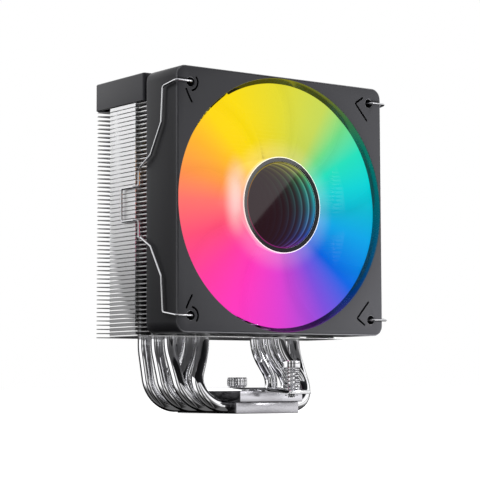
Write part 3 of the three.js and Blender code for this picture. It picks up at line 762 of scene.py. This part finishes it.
plate = grooved(PLATE_LOW.y, PLATE_HIGH.y, PLATE_HIGH.z, PLATE_LOW.z)
block = grooved(BLOCK_LOW.y, BLOCK_HIGH.y, BLOCK_LOW.z, BLOCK_HIGH.z)
make("base_plate", [slab([eased(plate, 0.25)], PLATE_LOW.x, PLATE_HIGH.x, along_x, 0.15)], "base", "cooler",
     ["cold_plate"])
make("upper_block", [slab([eased(block, 0.25)], BLOCK_LOW.x, BLOCK_HIGH.x, along_x, 0.15)], "base", "cooler",
     ["base_block"])

# ---------------------------------------------------------------- fins

FINS_LOW, FINS_HIGH = box_mm("fin_stack")
FIN_COUNT = 55
FIN_THICKNESS = 0.4
LIP_FRONT, LIP_REAR = -1.5, 20.4
SEAM = 0.42
NOTCH = 6.5
LIP_THICKNESS = 0.45


def fin_outline():
    side = FINS_HIGH.x
    right = [
        (side - 0.5, FINS_HIGH.y),
        (side, FINS_HIGH.y - 0.5),
        (side, FINS_HIGH.y - 1.5),
        (side - NOTCH, FINS_HIGH.y - 6.5),
        (side - NOTCH, LIP_REAR + 0.4),
        (side, LIP_REAR),
        (side, LIP_FRONT),
        (side - 1.6, LIP_FRONT - 1.0),
        (side - 1.6, FINS_LOW.y),
    ]
    return right + [(-x, y) for x, y in reversed(right)]


def fins():
    pitch = (FINS_HIGH.z - FINS_LOW.z - FIN_THICKNESS) / (FIN_COUNT - 1)
    loops = [fin_outline()]
    for plan in PIPES:
        for sign in (-1, 1):
            loops.append(circle(PIPE_RADIUS + 0.25, sign * plan["leg_x"], plan["leg_y"], 18))
    shapes = []
    for i in range(FIN_COUNT):
        low = FINS_LOW.z + i * pitch
        shapes.append(slab(loops, low, low + FIN_THICKNESS))
        drop = pitch - SEAM - FIN_THICKNESS
        if i == 0:
            continue
        for sign in (-1, 1):
            edges = sorted((sign * FINS_HIGH.x, sign * (FINS_HIGH.x - LIP_THICKNESS)))
            lip = [(edges[0], LIP_FRONT), (edges[1], LIP_FRONT), (edges[1], LIP_REAR), (edges[0], LIP_REAR)]
            shapes.append(slab([lip], low - drop, low))
    return shapes


def collars():
    pitch = (FINS_HIGH.z - FINS_LOW.z - FIN_THICKNESS) / (FIN_COUNT - 1)
    shapes = []
    for i in range(FIN_COUNT - 1):
        low = FINS_LOW.z + i * pitch + FIN_THICKNESS
        for plan in PIPES:
            for sign in (-1, 1):
                centre = (sign * plan["leg_x"], plan["leg_y"])
                inner = PIPE_RADIUS + 0.03
                profile = [(inner, low - 0.3), (inner, low + 1.1), (inner + 0.22, low + 1.1), (inner + 0.3, low)]
                shapes.append(lathe(profile, along_z, centre, 18, closed=True))
    return shapes


make("fins", fins(), "fins", "cooler", ["fin_stack"], smooth=30)
make("fin_collars", collars(), "fins", "cooler", smooth=40)

# ---------------------------------------------------------------- top cover

COVER_LOW, COVER_HIGH = box_mm("top_cover")


def cover():
    middle_y = (COVER_LOW.y + COVER_HIGH.y) / 2
    half_x = COVER_HIGH.x
    half_y = COVER_HIGH.y - middle_y
    wall = 1.5
    rows = [(wall, COVER_HIGH.z - wall), (wall, COVER_LOW.z + 0.15), (wall - 0.15, COVER_LOW.z), (0.2, COVER_LOW.z),
            (0.0, COVER_LOW.z + 0.2), (0.0, COVER_HIGH.z - 0.8)]
    for i in range(1, 5):
        angle = math.pi / 2 * i / 4
        rows.append((0.8 - 0.8 * math.cos(angle), COVER_HIGH.z - 0.8 + 0.8 * math.sin(angle)))
    loops = []
    for inset, height in rows:
        outline = rounded(half_x - inset, half_y - inset, max(1.5 - inset, 0.3), 6)
        loops.append([(x, y + middle_y, height) for x, y in outline])
    return skin(loops)


make("cover", [cover()], "cover", "cooler", ["top_cover"], smooth=40)

# ---------------------------------------------------------------- mounting bar, thumb screw and spring screws

BAR_LOW, BAR_HIGH = box_mm("mounting_bar")
BAR_FLAT = BLOCK_HIGH.y
BAR_THICKNESS = 1.6
BAR_LEAN = 0.8
BAR_DROP = 1.4
SCREW_Y = 42.0
SPRING_SEAT = 11.06


def bar_under(y):
    beyond = max(abs(y) - BAR_FLAT, 0.0) / (BAR_HIGH.y - BAR_FLAT)
    return BLOCK_HIGH.z - BAR_DROP * beyond


def bar():
    half = BAR_HIGH.x
    tip = [(half, 1.6), (half - 0.3, 0.7), (half - 0.9, 0.15), (half - 1.7, 0.0)]
    far = [(x, BAR_HIGH.y - inset) for x, inset in tip]
    right = [(half, -BAR_FLAT), (half, BAR_FLAT)] + far
    left = [(-x, y) for x, y in reversed(far)] + [(-half, BAR_FLAT), (-half, -BAR_FLAT)]
    near = [(-x, -y) for x, y in far] + [(x, -y) for x, y in reversed(far)]
    outline = right + left + near
    fold = len(right) + len(far)
    cuts = [(0, fold + 1), (1, fold)]
    holes = [circle(2.4, 0, y, 32) for y in (-SCREW_Y, 0, SCREW_Y)]

    def bent(u, v, w):
        inset = BAR_LEAN * w / BAR_THICKNESS if abs(u) > half / 2 else 0.0
        return (u - math.copysign(inset, u), v, w + bar_under(v))

    return slab([outline] + holes, 0, BAR_THICKNESS, bent, [0.25, 0.2, 0.2, 0.2], cuts=cuts)


make("bar", [bar()], "bar", "cooler", ["mounting_bar"])


def washer(node, name, body, inner):
    low, high = box_mm(node)
    centre = ((low.x + high.x) / 2, (low.y + high.y) / 2)
    radius = (high.x - low.x) / 2
    soft = min(0.12, (high.z - low.z) / 3)
    profile = [(inner, low.z), (radius - soft, low.z), (radius, low.z + soft), (radius, high.z - soft),
               (radius - soft, high.z), (inner, high.z)]
    make(name, [lathe(profile, along_z, centre, 48, closed=True)], "wire", body, [node])


washer("thumb_screw_washer", "thumb_washer_ring", "thumb_washer", 2.0)
washer("front_screw_clip", "front_clip_ring", "front_clip", 2.0)
washer("rear_screw_clip", "rear_clip_ring", "rear_clip", 2.0)


def threaded(radius, low, high, pitch, depth, centre=(0.0, 0.0), sides=28):
    """A shank with a running thread."""
    rows = max(int((high - low) / pitch * 6), 6)
    loops = []
    for k in range(rows + 1):
        height = low + (high - low) * k / rows
        end = min(1.0, (height - low) / pitch, (high - height) / pitch)
        loop = []
        for i in range(sides):
            angle = TURN * i / sides
            turn = (height / pitch - i / sides) % 1.0
            crest = 1.0 - abs(2 * turn - 1)
            size = radius - depth * (1 - crest * max(end, 0.0))
            loop.append((centre[0] + size * math.cos(angle), centre[1] + size * math.sin(angle), height))
        loops.append(loop)
    return skin(loops)


def knurled_head(radius, low, high, teeth, depth, centre=(0.0, 0.0)):
    height = high - low
    rows = [(0.0, 0.45), (0.08, 0.12), (0.16, 0.0), (0.84, 0.0), (0.92, 0.12), (1.0, 0.45)]
    loops = []
    per_tooth = 6
    for share, inset in rows:
        loop = []
        for i in range(teeth * per_tooth):
            angle = TURN * i / (teeth * per_tooth)
            wave = abs(math.sin(teeth * angle / 2)) ** 0.7
            size = radius - inset - depth * (1 - wave) * (1.0 if inset < 0.2 else 0.5)
            loop.append((centre[0] + size * math.cos(angle), centre[1] + size * math.sin(angle), low + height * share))
        loops.append(loop)
    return skin(loops)


def cross(arm, width, centre):
    half = width / 2
    points = []
    for k in range(4):
        turn = Matrix.Rotation(TURN * k / 4, 2)
        for corner in ((arm, -half), (arm, half), (half, half)):
            point = turn @ Vector(corner)
            points.append((centre[0] + point.x, centre[1] + point.y))
    return points


def upside(u, v, w):
    return (u, v, -w)


THUMB_LOW, THUMB_HIGH = box_mm("thumb_screw")
WASHER_TOP = box_mm("thumb_screw_washer")[1].z
HEAD_LOW = WASHER_TOP
make("thumb_knob_head", [
    knurled_head(THUMB_HIGH.x - 0.02, HEAD_LOW + 0.02, THUMB_HIGH.z, 20, 0.9),
    threaded(1.7, THUMB_LOW.z, HEAD_LOW + 0.3, 0.7, 0.22),
], "knob", "thumb_knob", ["thumb_screw"], smooth=28)

for end, sign in (("front", -1), ("rear", 1)):
    low, high = box_mm(f"{end}_screw")
    centre = (0.0, sign * SCREW_Y)
    radius = high.x
    cap_low = high.z - 3.4
    make(f"{end}_bolt_screw", [
        slab([circle(radius, *centre, 64)], -high.z, -cap_low, upside, [0.35], [(cross(2.1, 0.9, centre), 1.6)]),
        threaded(1.7, low.z, 13.0, 0.6, 0.22, centre),
        lathe([(0, 12.9), (1.68, 12.9), (1.68, cap_low + 0.1), (0, cap_low + 0.1)], along_z, centre, 40),
    ], "nickel", f"{end}_bolt", [f"{end}_screw"], smooth=28)


def coil(radius, wire, low, high, turns, centre):
    """A compression spring with flattened end turns."""
    steps = int(turns * 28)
    path = []
    for i in range(steps + 1):
        share = i / steps
        angle = TURN * turns * share
        eased = min(max((share - 0.12) / 0.76, 0.0), 1.0)
        height = low + wire + (high - low - 2 * wire) * (0.06 * share + 0.94 * eased)
        path.append(Vector((centre[0] + radius * math.cos(angle), centre[1] + radius * math.sin(angle), height)))
    return tube(path, wire, 12)


for end, sign in (("front", -1), ("rear", 1)):
    low, high = box_mm(f"{end}_spring")
    spring = make(f"{end}_spring_coil", [coil(3.6, 0.45, SPRING_SEAT, high.z, 6, (0.0, sign * SCREW_Y))],
                  "wire", "cooler", [f"{end}_spring"], smooth=60)
    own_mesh(spring)

# ---------------------------------------------------------------- fan frame

FAN_HALF = (FAN_HIGH.x - FAN_LOW.x) / 2
FAN_REAR = FAN_HIGH.y
FAN_DEPTH = FAN_REAR - FAN_FRONT
BORE = 58.0
INLET = 59.1
INLET_DEPTH = 6.0
HOLE_AT = 52.5
HOLE_RADIUS = 2.15
SLIT_WIDTH = 0.95
SLIT_DEPTH = 5.0


def in_fan(u, v, w):
    return (u, w, v + FAN_Z)


def fan_slits():
    outlines = []
    for sign in (-1, 1):
        v_shape = [(48.5, 54.8), (44.5, 52.2), (44.3, 51.7), (44.45, 51.3), (51.0, 44.0)]
        outlines.append(stroke([(x, sign * z) for x, z in v_shape], SLIT_WIDTH))
        short = [(-54.9, 49.1), (-53.6, 46.4), (-51.9, 43.5)]
        outlines.append(stroke([(x, sign * z) for x, z in short], SLIT_WIDTH))
        arc = []
        for i in range(15):
            angle = math.radians(35 - 111 * i / 14)
            arc.append((-HOLE_AT + 3.9 * math.cos(angle), HOLE_AT + 3.9 * math.sin(angle)))
        outlines.append(stroke([(x, sign * z) for x, z in arc], SLIT_WIDTH))
    return outlines


def fan_frame():
    holes = [circle(HOLE_RADIUS, x * HOLE_AT, z * HOLE_AT, 32) for x in (-1, 1) for z in (-1, 1)]
    loops = [rounded(FAN_HALF, FAN_HALF, 5.0, 10), circle(BORE, 0, 0, 180)] + holes
    pockets = [(outline, SLIT_DEPTH) for outline in fan_slits()]
    verts, faces, flat = slab(loops, FAN_FRONT, FAN_REAR, in_fan, [0.8, 0.3, 0.25, 0.25, 0.25, 0.25], pockets)
    flared = []
    for x, y, z in verts:
        reach = math.hypot(x, z - FAN_Z)
        if abs(reach - BORE) < 0.5 and y < FAN_FRONT + INLET_DEPTH:
            grow = (reach + INLET - BORE) / reach
            x, z = x * grow, (z - FAN_Z) * grow + FAN_Z
        flared.append((x, y, z))
    return flared, faces, flat


make("fan_housing", [fan_frame()], "frame", "cooler", ["fan_frame"])


def spider():
    hub = 24.5
    shapes = [
        lathe([(4.4, FAN_REAR - 2), (hub - 0.4, FAN_REAR - 2), (hub, FAN_REAR - 1.6), (hub, FAN_REAR - 0.4),
               (hub - 0.4, FAN_REAR), (4.4, FAN_REAR)], in_fan, sides=96, closed=True),
        lathe([(3.4, FAN_FRONT + 12), (4.6, FAN_FRONT + 12), (4.6, FAN_REAR - 0.1), (3.4, FAN_REAR - 0.1)], in_fan,
              sides=40, closed=True),
    ]
    for k in range(4):
        turn = Matrix.Rotation(TURN * (k + 0.5) / 4, 2)
        bar_outline = []
        for corner in ((hub - 0.8, -2.5), (BORE + 0.6, -2.9), (BORE + 0.6, 2.9), (hub - 0.8, 2.5)):
            point = turn @ Vector(corner)
            bar_outline.append((point.x, point.y))
        shapes.append(slab([bar_outline], FAN_REAR - 4, FAN_REAR, in_fan, 0.5))
    return shapes


make("fan_spider", spider(), "frame", "cooler")

for name in ("upper_left", "upper_right", "lower_right", "lower_left"):
    low, high = box_mm(f"rear_pad_{name}")
    centre = ((low.x + high.x) / 2, (low.z + high.z) / 2 - FAN_Z)
    outline = [(x + centre[0], z + centre[1]) for x, z in rounded((high.x - low.x) / 2, (high.z - low.z) / 2, 2, 6)]
    make(f"cushion_{name}", [slab([outline, circle(2.6, *centre, 32)], low.y, high.y, in_fan, 0.3)], "rubber",
         "cooler", [f"rear_pad_{name}"])

# ---------------------------------------------------------------- impeller and hub

BLADES = 9
HUB = 22.6
BLADE_TIP = 57.2
BLADE_FRONT = 3.0
BLADE_REAR = 19.6


def blade(index):
    """A wide blade, nearly level behind its leading edge and then diving under the next one."""
    spans, chords = 14, 24
    loops = []
    chord_values = []
    for i in range(spans + 1):
        out = i / spans
        radius = HUB - 0.8 + (BLADE_TIP - HUB + 0.8) * out
        span = 1.25 - 0.1 * out
        middle = TURN * (index + 0.18) / BLADES + 0.3 * out**1.5
        dive = 5.0 + 7.0 * out
        loop = []
        shares = []
        for face in (-1, 1):
            for k in range(chords):
                share = k / chords if face < 0 else 1 - k / chords
                angle = middle - span * (share - 0.5)
                thick = 0.5 * math.sqrt(max(math.sin(math.pi * share), 0.0)) * (1.15 - 0.4 * out)
                depth = BLADE_FRONT + 0.6 + (BLADE_REAR - BLADE_FRONT - 1.1) * share**dive + face * thick
                loop.append((radius * math.cos(angle), FAN_FRONT + depth, radius * math.sin(angle) + FAN_Z))
                shares.append(share)
        loops.append(loop)
        chord_values.extend(shares)
    return skin(loops), chord_values


IMPELLER_LOW, IMPELLER_HIGH = box_mm("impeller")
blade_shapes = []
chord_list = []
for index in range(BLADES):
    shape, values = blade(index)
    blade_shapes.append(shape)
    chord_list.extend(values)
blades_piece = make("blades", blade_shapes, "blade", "rotor", ["impeller"], smooth=50)
chord = blades_piece.data.attributes.new("chord", "FLOAT", "POINT")
chord.data.foreach_set("value", chord_list)

inner = HUB - 1.6
hub_cup = [
    (0, FAN_FRONT + 7.2), (inner, FAN_FRONT + 7.2), (inner, FAN_FRONT + 2.4), (HUB - 0.25, FAN_FRONT + 2.3),
    (HUB, FAN_FRONT + 2.6), (HUB, IMPELLER_HIGH.y), (inner, IMPELLER_HIGH.y), (inner, FAN_FRONT + 8.4),
    (0, FAN_FRONT + 8.4),
]
make("hub_cup", [lathe(hub_cup, in_fan, sides=128)], "diffuser", "rotor", smooth=40)

band_in, band_out = 20.3, 22.15
make("hub_band", [lathe([
    (band_in, RING_LOW.y + 0.12), (band_in + 0.1, RING_LOW.y), (band_out, RING_LOW.y), (band_out, RING_HIGH.y),
    (band_in, RING_HIGH.y),
], in_fan, sides=128, closed=True)], "band", "rotor", ["hub_ring"], smooth=40)
make("hub_rim", [lathe([
    (band_out + 0.02, RING_LOW.y + 0.02), (HUB - 0.15, RING_LOW.y + 0.02), (HUB, RING_LOW.y + 0.2),
    (HUB, RING_HIGH.y), (band_out + 0.02, RING_HIGH.y),
], in_fan, sides=128, closed=True)], "rim", "rotor", smooth=40)
WINDOW_LOW, WINDOW_HIGH = box_mm("hub_window")
make("hub_glass", [lathe([
    (0, WINDOW_LOW.y), (19.9, WINDOW_LOW.y), (20.25, WINDOW_LOW.y + 0.1), (20.25, WINDOW_HIGH.y), (0, WINDOW_HIGH.y),
], in_fan, sides=128)], "window", "rotor", ["hub_window"], smooth=8)

# ---------------------------------------------------------------- wire clips, lead and plug

WIRE = 0.55


def clip_path(side):
    front = FAN_FRONT
    wide, groove, handle = 61.3, 58.4, 60.2
    upper = [
        (HOLE_AT, front + 2, 52.5), (HOLE_AT, front - 1.5, 52.5), (wide, front - 1.5, 52.5),
        (wide, front + 9.2, 50.9), (wide, front + 10.5, 34.7), (wide, front + 19.2, 20.8),
        (wide, front + 27.2, 16.4), (groove, front + 33.4, 16.1), (groove, front + 33.4, 7.9),
        (handle, front + 35.8, 7.7), (handle, front + 45.3, 7.7),
    ]
    ends = upper + [(x, y, -z) for x, y, z in reversed(upper)]
    corners = [(side * x, y, z + FAN_Z) for x, y, z in ends]
    return rounded_path(corners, [1.3] * (len(corners) - 2), 8)


for side, label in ((-1, "left"), (1, "right")):
    make(f"{label}_clip_wire", [tube(clip_path(side), WIRE, 16)], "wire", f"{label}_wire", [f"{label}_wire_clip"],
         smooth=60)

LEAD_LOW, LEAD_HIGH = box_mm("fan_lead")
PLUG_LOW, PLUG_HIGH = box_mm("fan_plug")


def lead_path():
    radius = (LEAD_HIGH.x - FAN_HIGH.x) / 2
    x = LEAD_HIGH.x - 1.3
    z = (LEAD_LOW.z + LEAD_HIGH.z) / 2
    top, bottom = LEAD_HIGH.z - 1.3, LEAD_LOW.z + 1.3
    rear = LEAD_HIGH.y - 1.3
    corners = [(FAN_HIGH.x + 0.3, -15, top), (x, -15, top), (x, rear, top), (x, rear, bottom), (x, PLUG_HIGH.y, bottom)]
    return rounded_path(corners, [1.4, 4, 4], 10)


def sleeve(path, radius, sides, pitch):
    """A braided sleeve: the tube's skin with shallow crossing ridges."""
    dense = []
    for a, b in zip(path, path[1:]):
        pieces = max(int((b - a).length / 0.5), 1)
        dense.extend(a.lerp(b, k / pieces) for k in range(pieces))
    dense.append(path[-1])
    verts, faces, rims = tube(dense, radius, sides)
    shaped = []
    for i, corner in enumerate(verts):
        ring, place = divmod(i, sides)
        row = min(max(ring - 2, 0), len(dense) - 1)
        core = dense[row]
        wave = math.sin(TURN * (row * 0.5 / pitch + place * 3 / sides)) * math.sin(TURN * (row * 0.5 / pitch - place * 3 / sides))
        arm = Vector(corner) - core
        shaped.append(tuple(Vector(corner) + arm.normalized() * 0.05 * (wave - 1) if arm.length > 0.5 * radius else corner))
    return shaped, faces, rims


make("lead", [sleeve(lead_path(), 1.28, 20, 1.6)], "cable", "cooler", ["fan_lead"], smooth=60)


def plug():
    outline = rounded((PLUG_HIGH.x - PLUG_LOW.x) / 2, (PLUG_HIGH.z - PLUG_LOW.z) / 2, 0.3, 3)
    cx, cz = (PLUG_HIGH.x + PLUG_LOW.x) / 2, (PLUG_HIGH.z + PLUG_LOW.z) / 2
    shell = [(x + cx, z + cz) for x, z in outline]
    sockets = []
    for k in range(4):
        at = cz + (k - 1.5) * 1.7
        sockets.append(([(cx - 0.45, at - 0.45), (cx + 0.45, at - 0.45), (cx + 0.45, at + 0.45), (cx - 0.45, at + 0.45)], 6.0))
    return slab([shell], PLUG_LOW.y, PLUG_HIGH.y, along_y, 0.2, sockets)


make("plug", [plug()], "plug", "cooler", ["fan_plug"])

# ---------------------------------------------------------------- CAD nodes that stay as they are

STAYING = {
    "hub_light_ring": "diffuser", "hub_back_mirror": "mirror", "rotor_yoke": "motor", "magnet_ring": "magnet",
    "rotor_shaft": "motor", "shaft_clip": "cable", "stator_core": "motor", "stator_coil_1": "copper",
    "stator_coil_2": "copper", "stator_coil_3": "copper", "stator_coil_4": "copper", "bearing_sleeve": "brass",
    "motor_board": "board", "light_board": "board",
}
for node, paint in STAYING.items():
    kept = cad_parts[node]
    kept.data.materials.clear()
    kept.data.materials.append(PAINT[paint])
    trim = kept.modifiers.new("edges", "BEVEL")
    trim.width = 0.12 * MM
    trim.segments = 1
    trim.limit_method = "ANGLE"
    trim.angle_limit = math.radians(50)

# ---------------------------------------------------------------- floor, light and camera


FAN_CENTRE = Vector((0, FAN_FRONT, FAN_Z)) * MM
VIEW_YAW = math.radians(36.398)
VIEW_PITCH = math.radians(4.827)
VIEW_ROLL = math.radians(-0.195)
EYE = FAN_CENTRE + Vector((-0.4925, -0.6341, -0.0839))


def floor():
    mesh = bpy.data.meshes.new("floor")
    grid = bmesh.new()
    bmesh.ops.create_grid(grid, x_segments=2, y_segments=2, size=6.0)
    grid.to_mesh(mesh)
    grid.free()
    made, shade = new_material("floor")
    grain = shade.noise((3, 3, 3), 2.0)
    body = shade.node("BsdfDiffuse", {"Color": shade.mix(grain, (0.80, 0.80, 0.81, 1), (0.84, 0.84, 0.85, 1))})
    light = shade.node("Emission", {"Color": (1.0, 1.0, 1.0, 1.0), "Strength": 0.85})
    both = shade.node("AddShader", {0: body.outputs[0], 1: light.outputs[0]})
    shade.surface(both.outputs[0])
    mesh.materials.append(made)
    plane = bpy.data.objects.new("floor", mesh)
    bpy.context.scene.collection.objects.link(plane)
    plane.location.z = -0.0002
    plane.visible_glossy = False
    plane.visible_diffuse = False


def sky():
    """White for the eye; for reflections a dark studio with tall white panels beside the object."""
    world = bpy.data.worlds.new("studio")
    bpy.context.scene.world = world
    world.use_nodes = True
    shade = Shade(world.node_tree)
    x, y, z = shade.split(shade.node("TexCoord").outputs["Generated"])
    toward = x * -math.sin(VIEW_YAW) + y * -math.cos(VIEW_YAW)
    beside = x * math.cos(VIEW_YAW) + y * -math.sin(VIEW_YAW)
    share = shade.math("ARCTAN2", beside, toward) / TURN + 0.5
    ramp = shade.node("ValToRGB", {"Fac": share})
    # Level of light by the angle from the viewer's side, to the viewer's left (-) and right (+).
    panels = [(-180, 0.03), (-142, 0.02), (-135, 0.9), (-55, 1.0), (-51, 0.16), (-42, 0.05), (-30, 0.2), (-26, 0.9),
              (-17, 0.9), (-13, 0.04), (2, 0.16), (8, 0.04), (12, 0.9), (20, 0.9), (24, 0.05), (40, 0.22), (50, 0.6),
              (56, 1.0), (130, 1.0), (137, 0.02), (180, 0.03)]
    stops = ramp.color_ramp.elements
    stops[0].position, stops[0].color = 0.0, (panels[0][1],) * 3 + (1,)
    stops[1].position, stops[1].color = 1.0, (panels[-1][1],) * 3 + (1,)
    for angle, level in panels[1:-1]:
        stops.new(angle / 360 + 0.5).color = (level,) * 3 + (1,)
    low_dip = shade.ramp(z, 0.02, 0.06, 1.0, 0.5)
    high_rise = shade.ramp(z, 0.09, 0.2, 0.0, 0.6)
    left = shade.ramp(share, 0.5 - 40 / 360, 0.5 - 50 / 360)
    far_left = shade.ramp(share, 0.5 - 94 / 360, 0.5 - 99 / 360)
    left_rise = shade.ramp(z, 0.02, 0.19, 0.08, 1.6)
    below = shade.ramp(z, -0.4, -0.03, 0.12, 1.0)
    height = (low_dip + high_rise) * (1.0 - left) + (1.25 * (1.0 - far_left) + left_rise * far_left) * left
    height = height * below
    turned = shade.math("ABSOLUTE", share - 0.5)
    behind = shade.ramp(turned, 130 / 360, 150 / 360) * shade.ramp(z, 0.12, 0.3) * 1.2
    studio = shade.scaled(ramp.outputs["Color"], height)
    studio = shade.mix(behind, studio, (1.0, 1.0, 1.0, 1.0))
    studio = shade.mix(shade.ramp(z, 0.45, 0.8), studio, (0.7, 0.7, 0.72, 1.0))
    paths = shade.node("LightPath")
    lit = shade.mix(paths.outputs["Is Diffuse Ray"], studio, (0.17, 0.17, 0.175, 1.0))
    colour = shade.mix(paths.outputs["Is Camera Ray"], lit, (1.0, 1.0, 1.0, 1.0))
    back = shade.node("Background", {"Color": colour, "Strength": 1.0})
    out = world.node_tree.nodes.new("ShaderNodeOutputWorld")
    world.node_tree.links.new(back.outputs[0], out.inputs["Surface"])


def panel(name, at, target, width, height, power, shiny=False):
    lamp = bpy.data.lights.new(name, "AREA")
    lamp.shape = "RECTANGLE"
    lamp.size = width
    lamp.size_y = height
    lamp.energy = power
    made = bpy.data.objects.new(name, lamp)
    bpy.context.scene.collection.objects.link(made)
    made.location = at
    made.rotation_euler = (Vector(target) - Vector(at)).to_track_quat("-Z", "Y").to_euler()
    made.visible_camera = False
    made.visible_glossy = shiny
    return made


def camera():
    forward = Vector((
        math.sin(VIEW_YAW) * math.cos(VIEW_PITCH), math.cos(VIEW_YAW) * math.cos(VIEW_PITCH), math.sin(VIEW_PITCH),
    ))
    level = Vector((math.cos(VIEW_YAW), -math.sin(VIEW_YAW), 0))
    upright = level.cross(forward)
    right = level * math.cos(VIEW_ROLL) + upright * math.sin(VIEW_ROLL)
    up = right.cross(forward)
    lens = bpy.data.cameras.new("camera")
    lens.sensor_width = 36.0
    lens.lens = 130.3
    lens.clip_start = 0.01
    lens.shift_x = -0.0009
    lens.shift_y = -0.0009
    made = bpy.data.objects.new("camera", lens)
    bpy.context.scene.collection.objects.link(made)
    turn = Matrix((right, up, -forward)).transposed()
    made.matrix_world = Matrix.Translation(EYE) @ turn.to_4x4()
    bpy.context.scene.camera = made


def glare_card():
    """A soft panel whose straight edge shows as a slanting glare across the hub's window."""
    reach = 1.3

    def image(x, z):
        point = Vector((x * MM, WINDOW_LOW.y * MM, (z + FAN_Z) * MM))
        ray = (point - EYE).normalized()
        ray.y = -ray.y
        return point + ray * reach, ray

    start, ray = image(-2.4, 4.0)
    edge = (image(11.7, 18.1)[0] - start).normalized()
    inward = image(-16.5, 18.1)[0] - start
    inward = (inward - edge * inward.dot(edge)).normalized()
    size = 0.17
    centre = start + inward * size / 2
    made = panel("glare", centre, centre - ray, size, size, 0.85, True)
    normal = edge.cross(inward)
    if normal.dot(ray) < 0:
        edge = -edge
        normal = -normal
    made.matrix_world = Matrix.Translation(centre) @ Matrix((edge, inward, normal)).transposed().to_4x4()


floor()
sky()
camera()
glare_card()
panel("key", (-0.3, 0.1, 0.36), (-0.05, 0, 0.15), 0.16, 0.16, 0.6)
panel("low", (0.18, -0.2, 0.04), (0.05, -0.04, 0.06), 0.08, 0.08, 1.7)
panel("top", (0.1, 0.1, 1.1), (0, 0, 0.1), 0.9, 0.9, 1.5)

bpy.context.scene.view_settings.view_transform = "Standard"
bpy.context.scene.view_settings.look = "None"
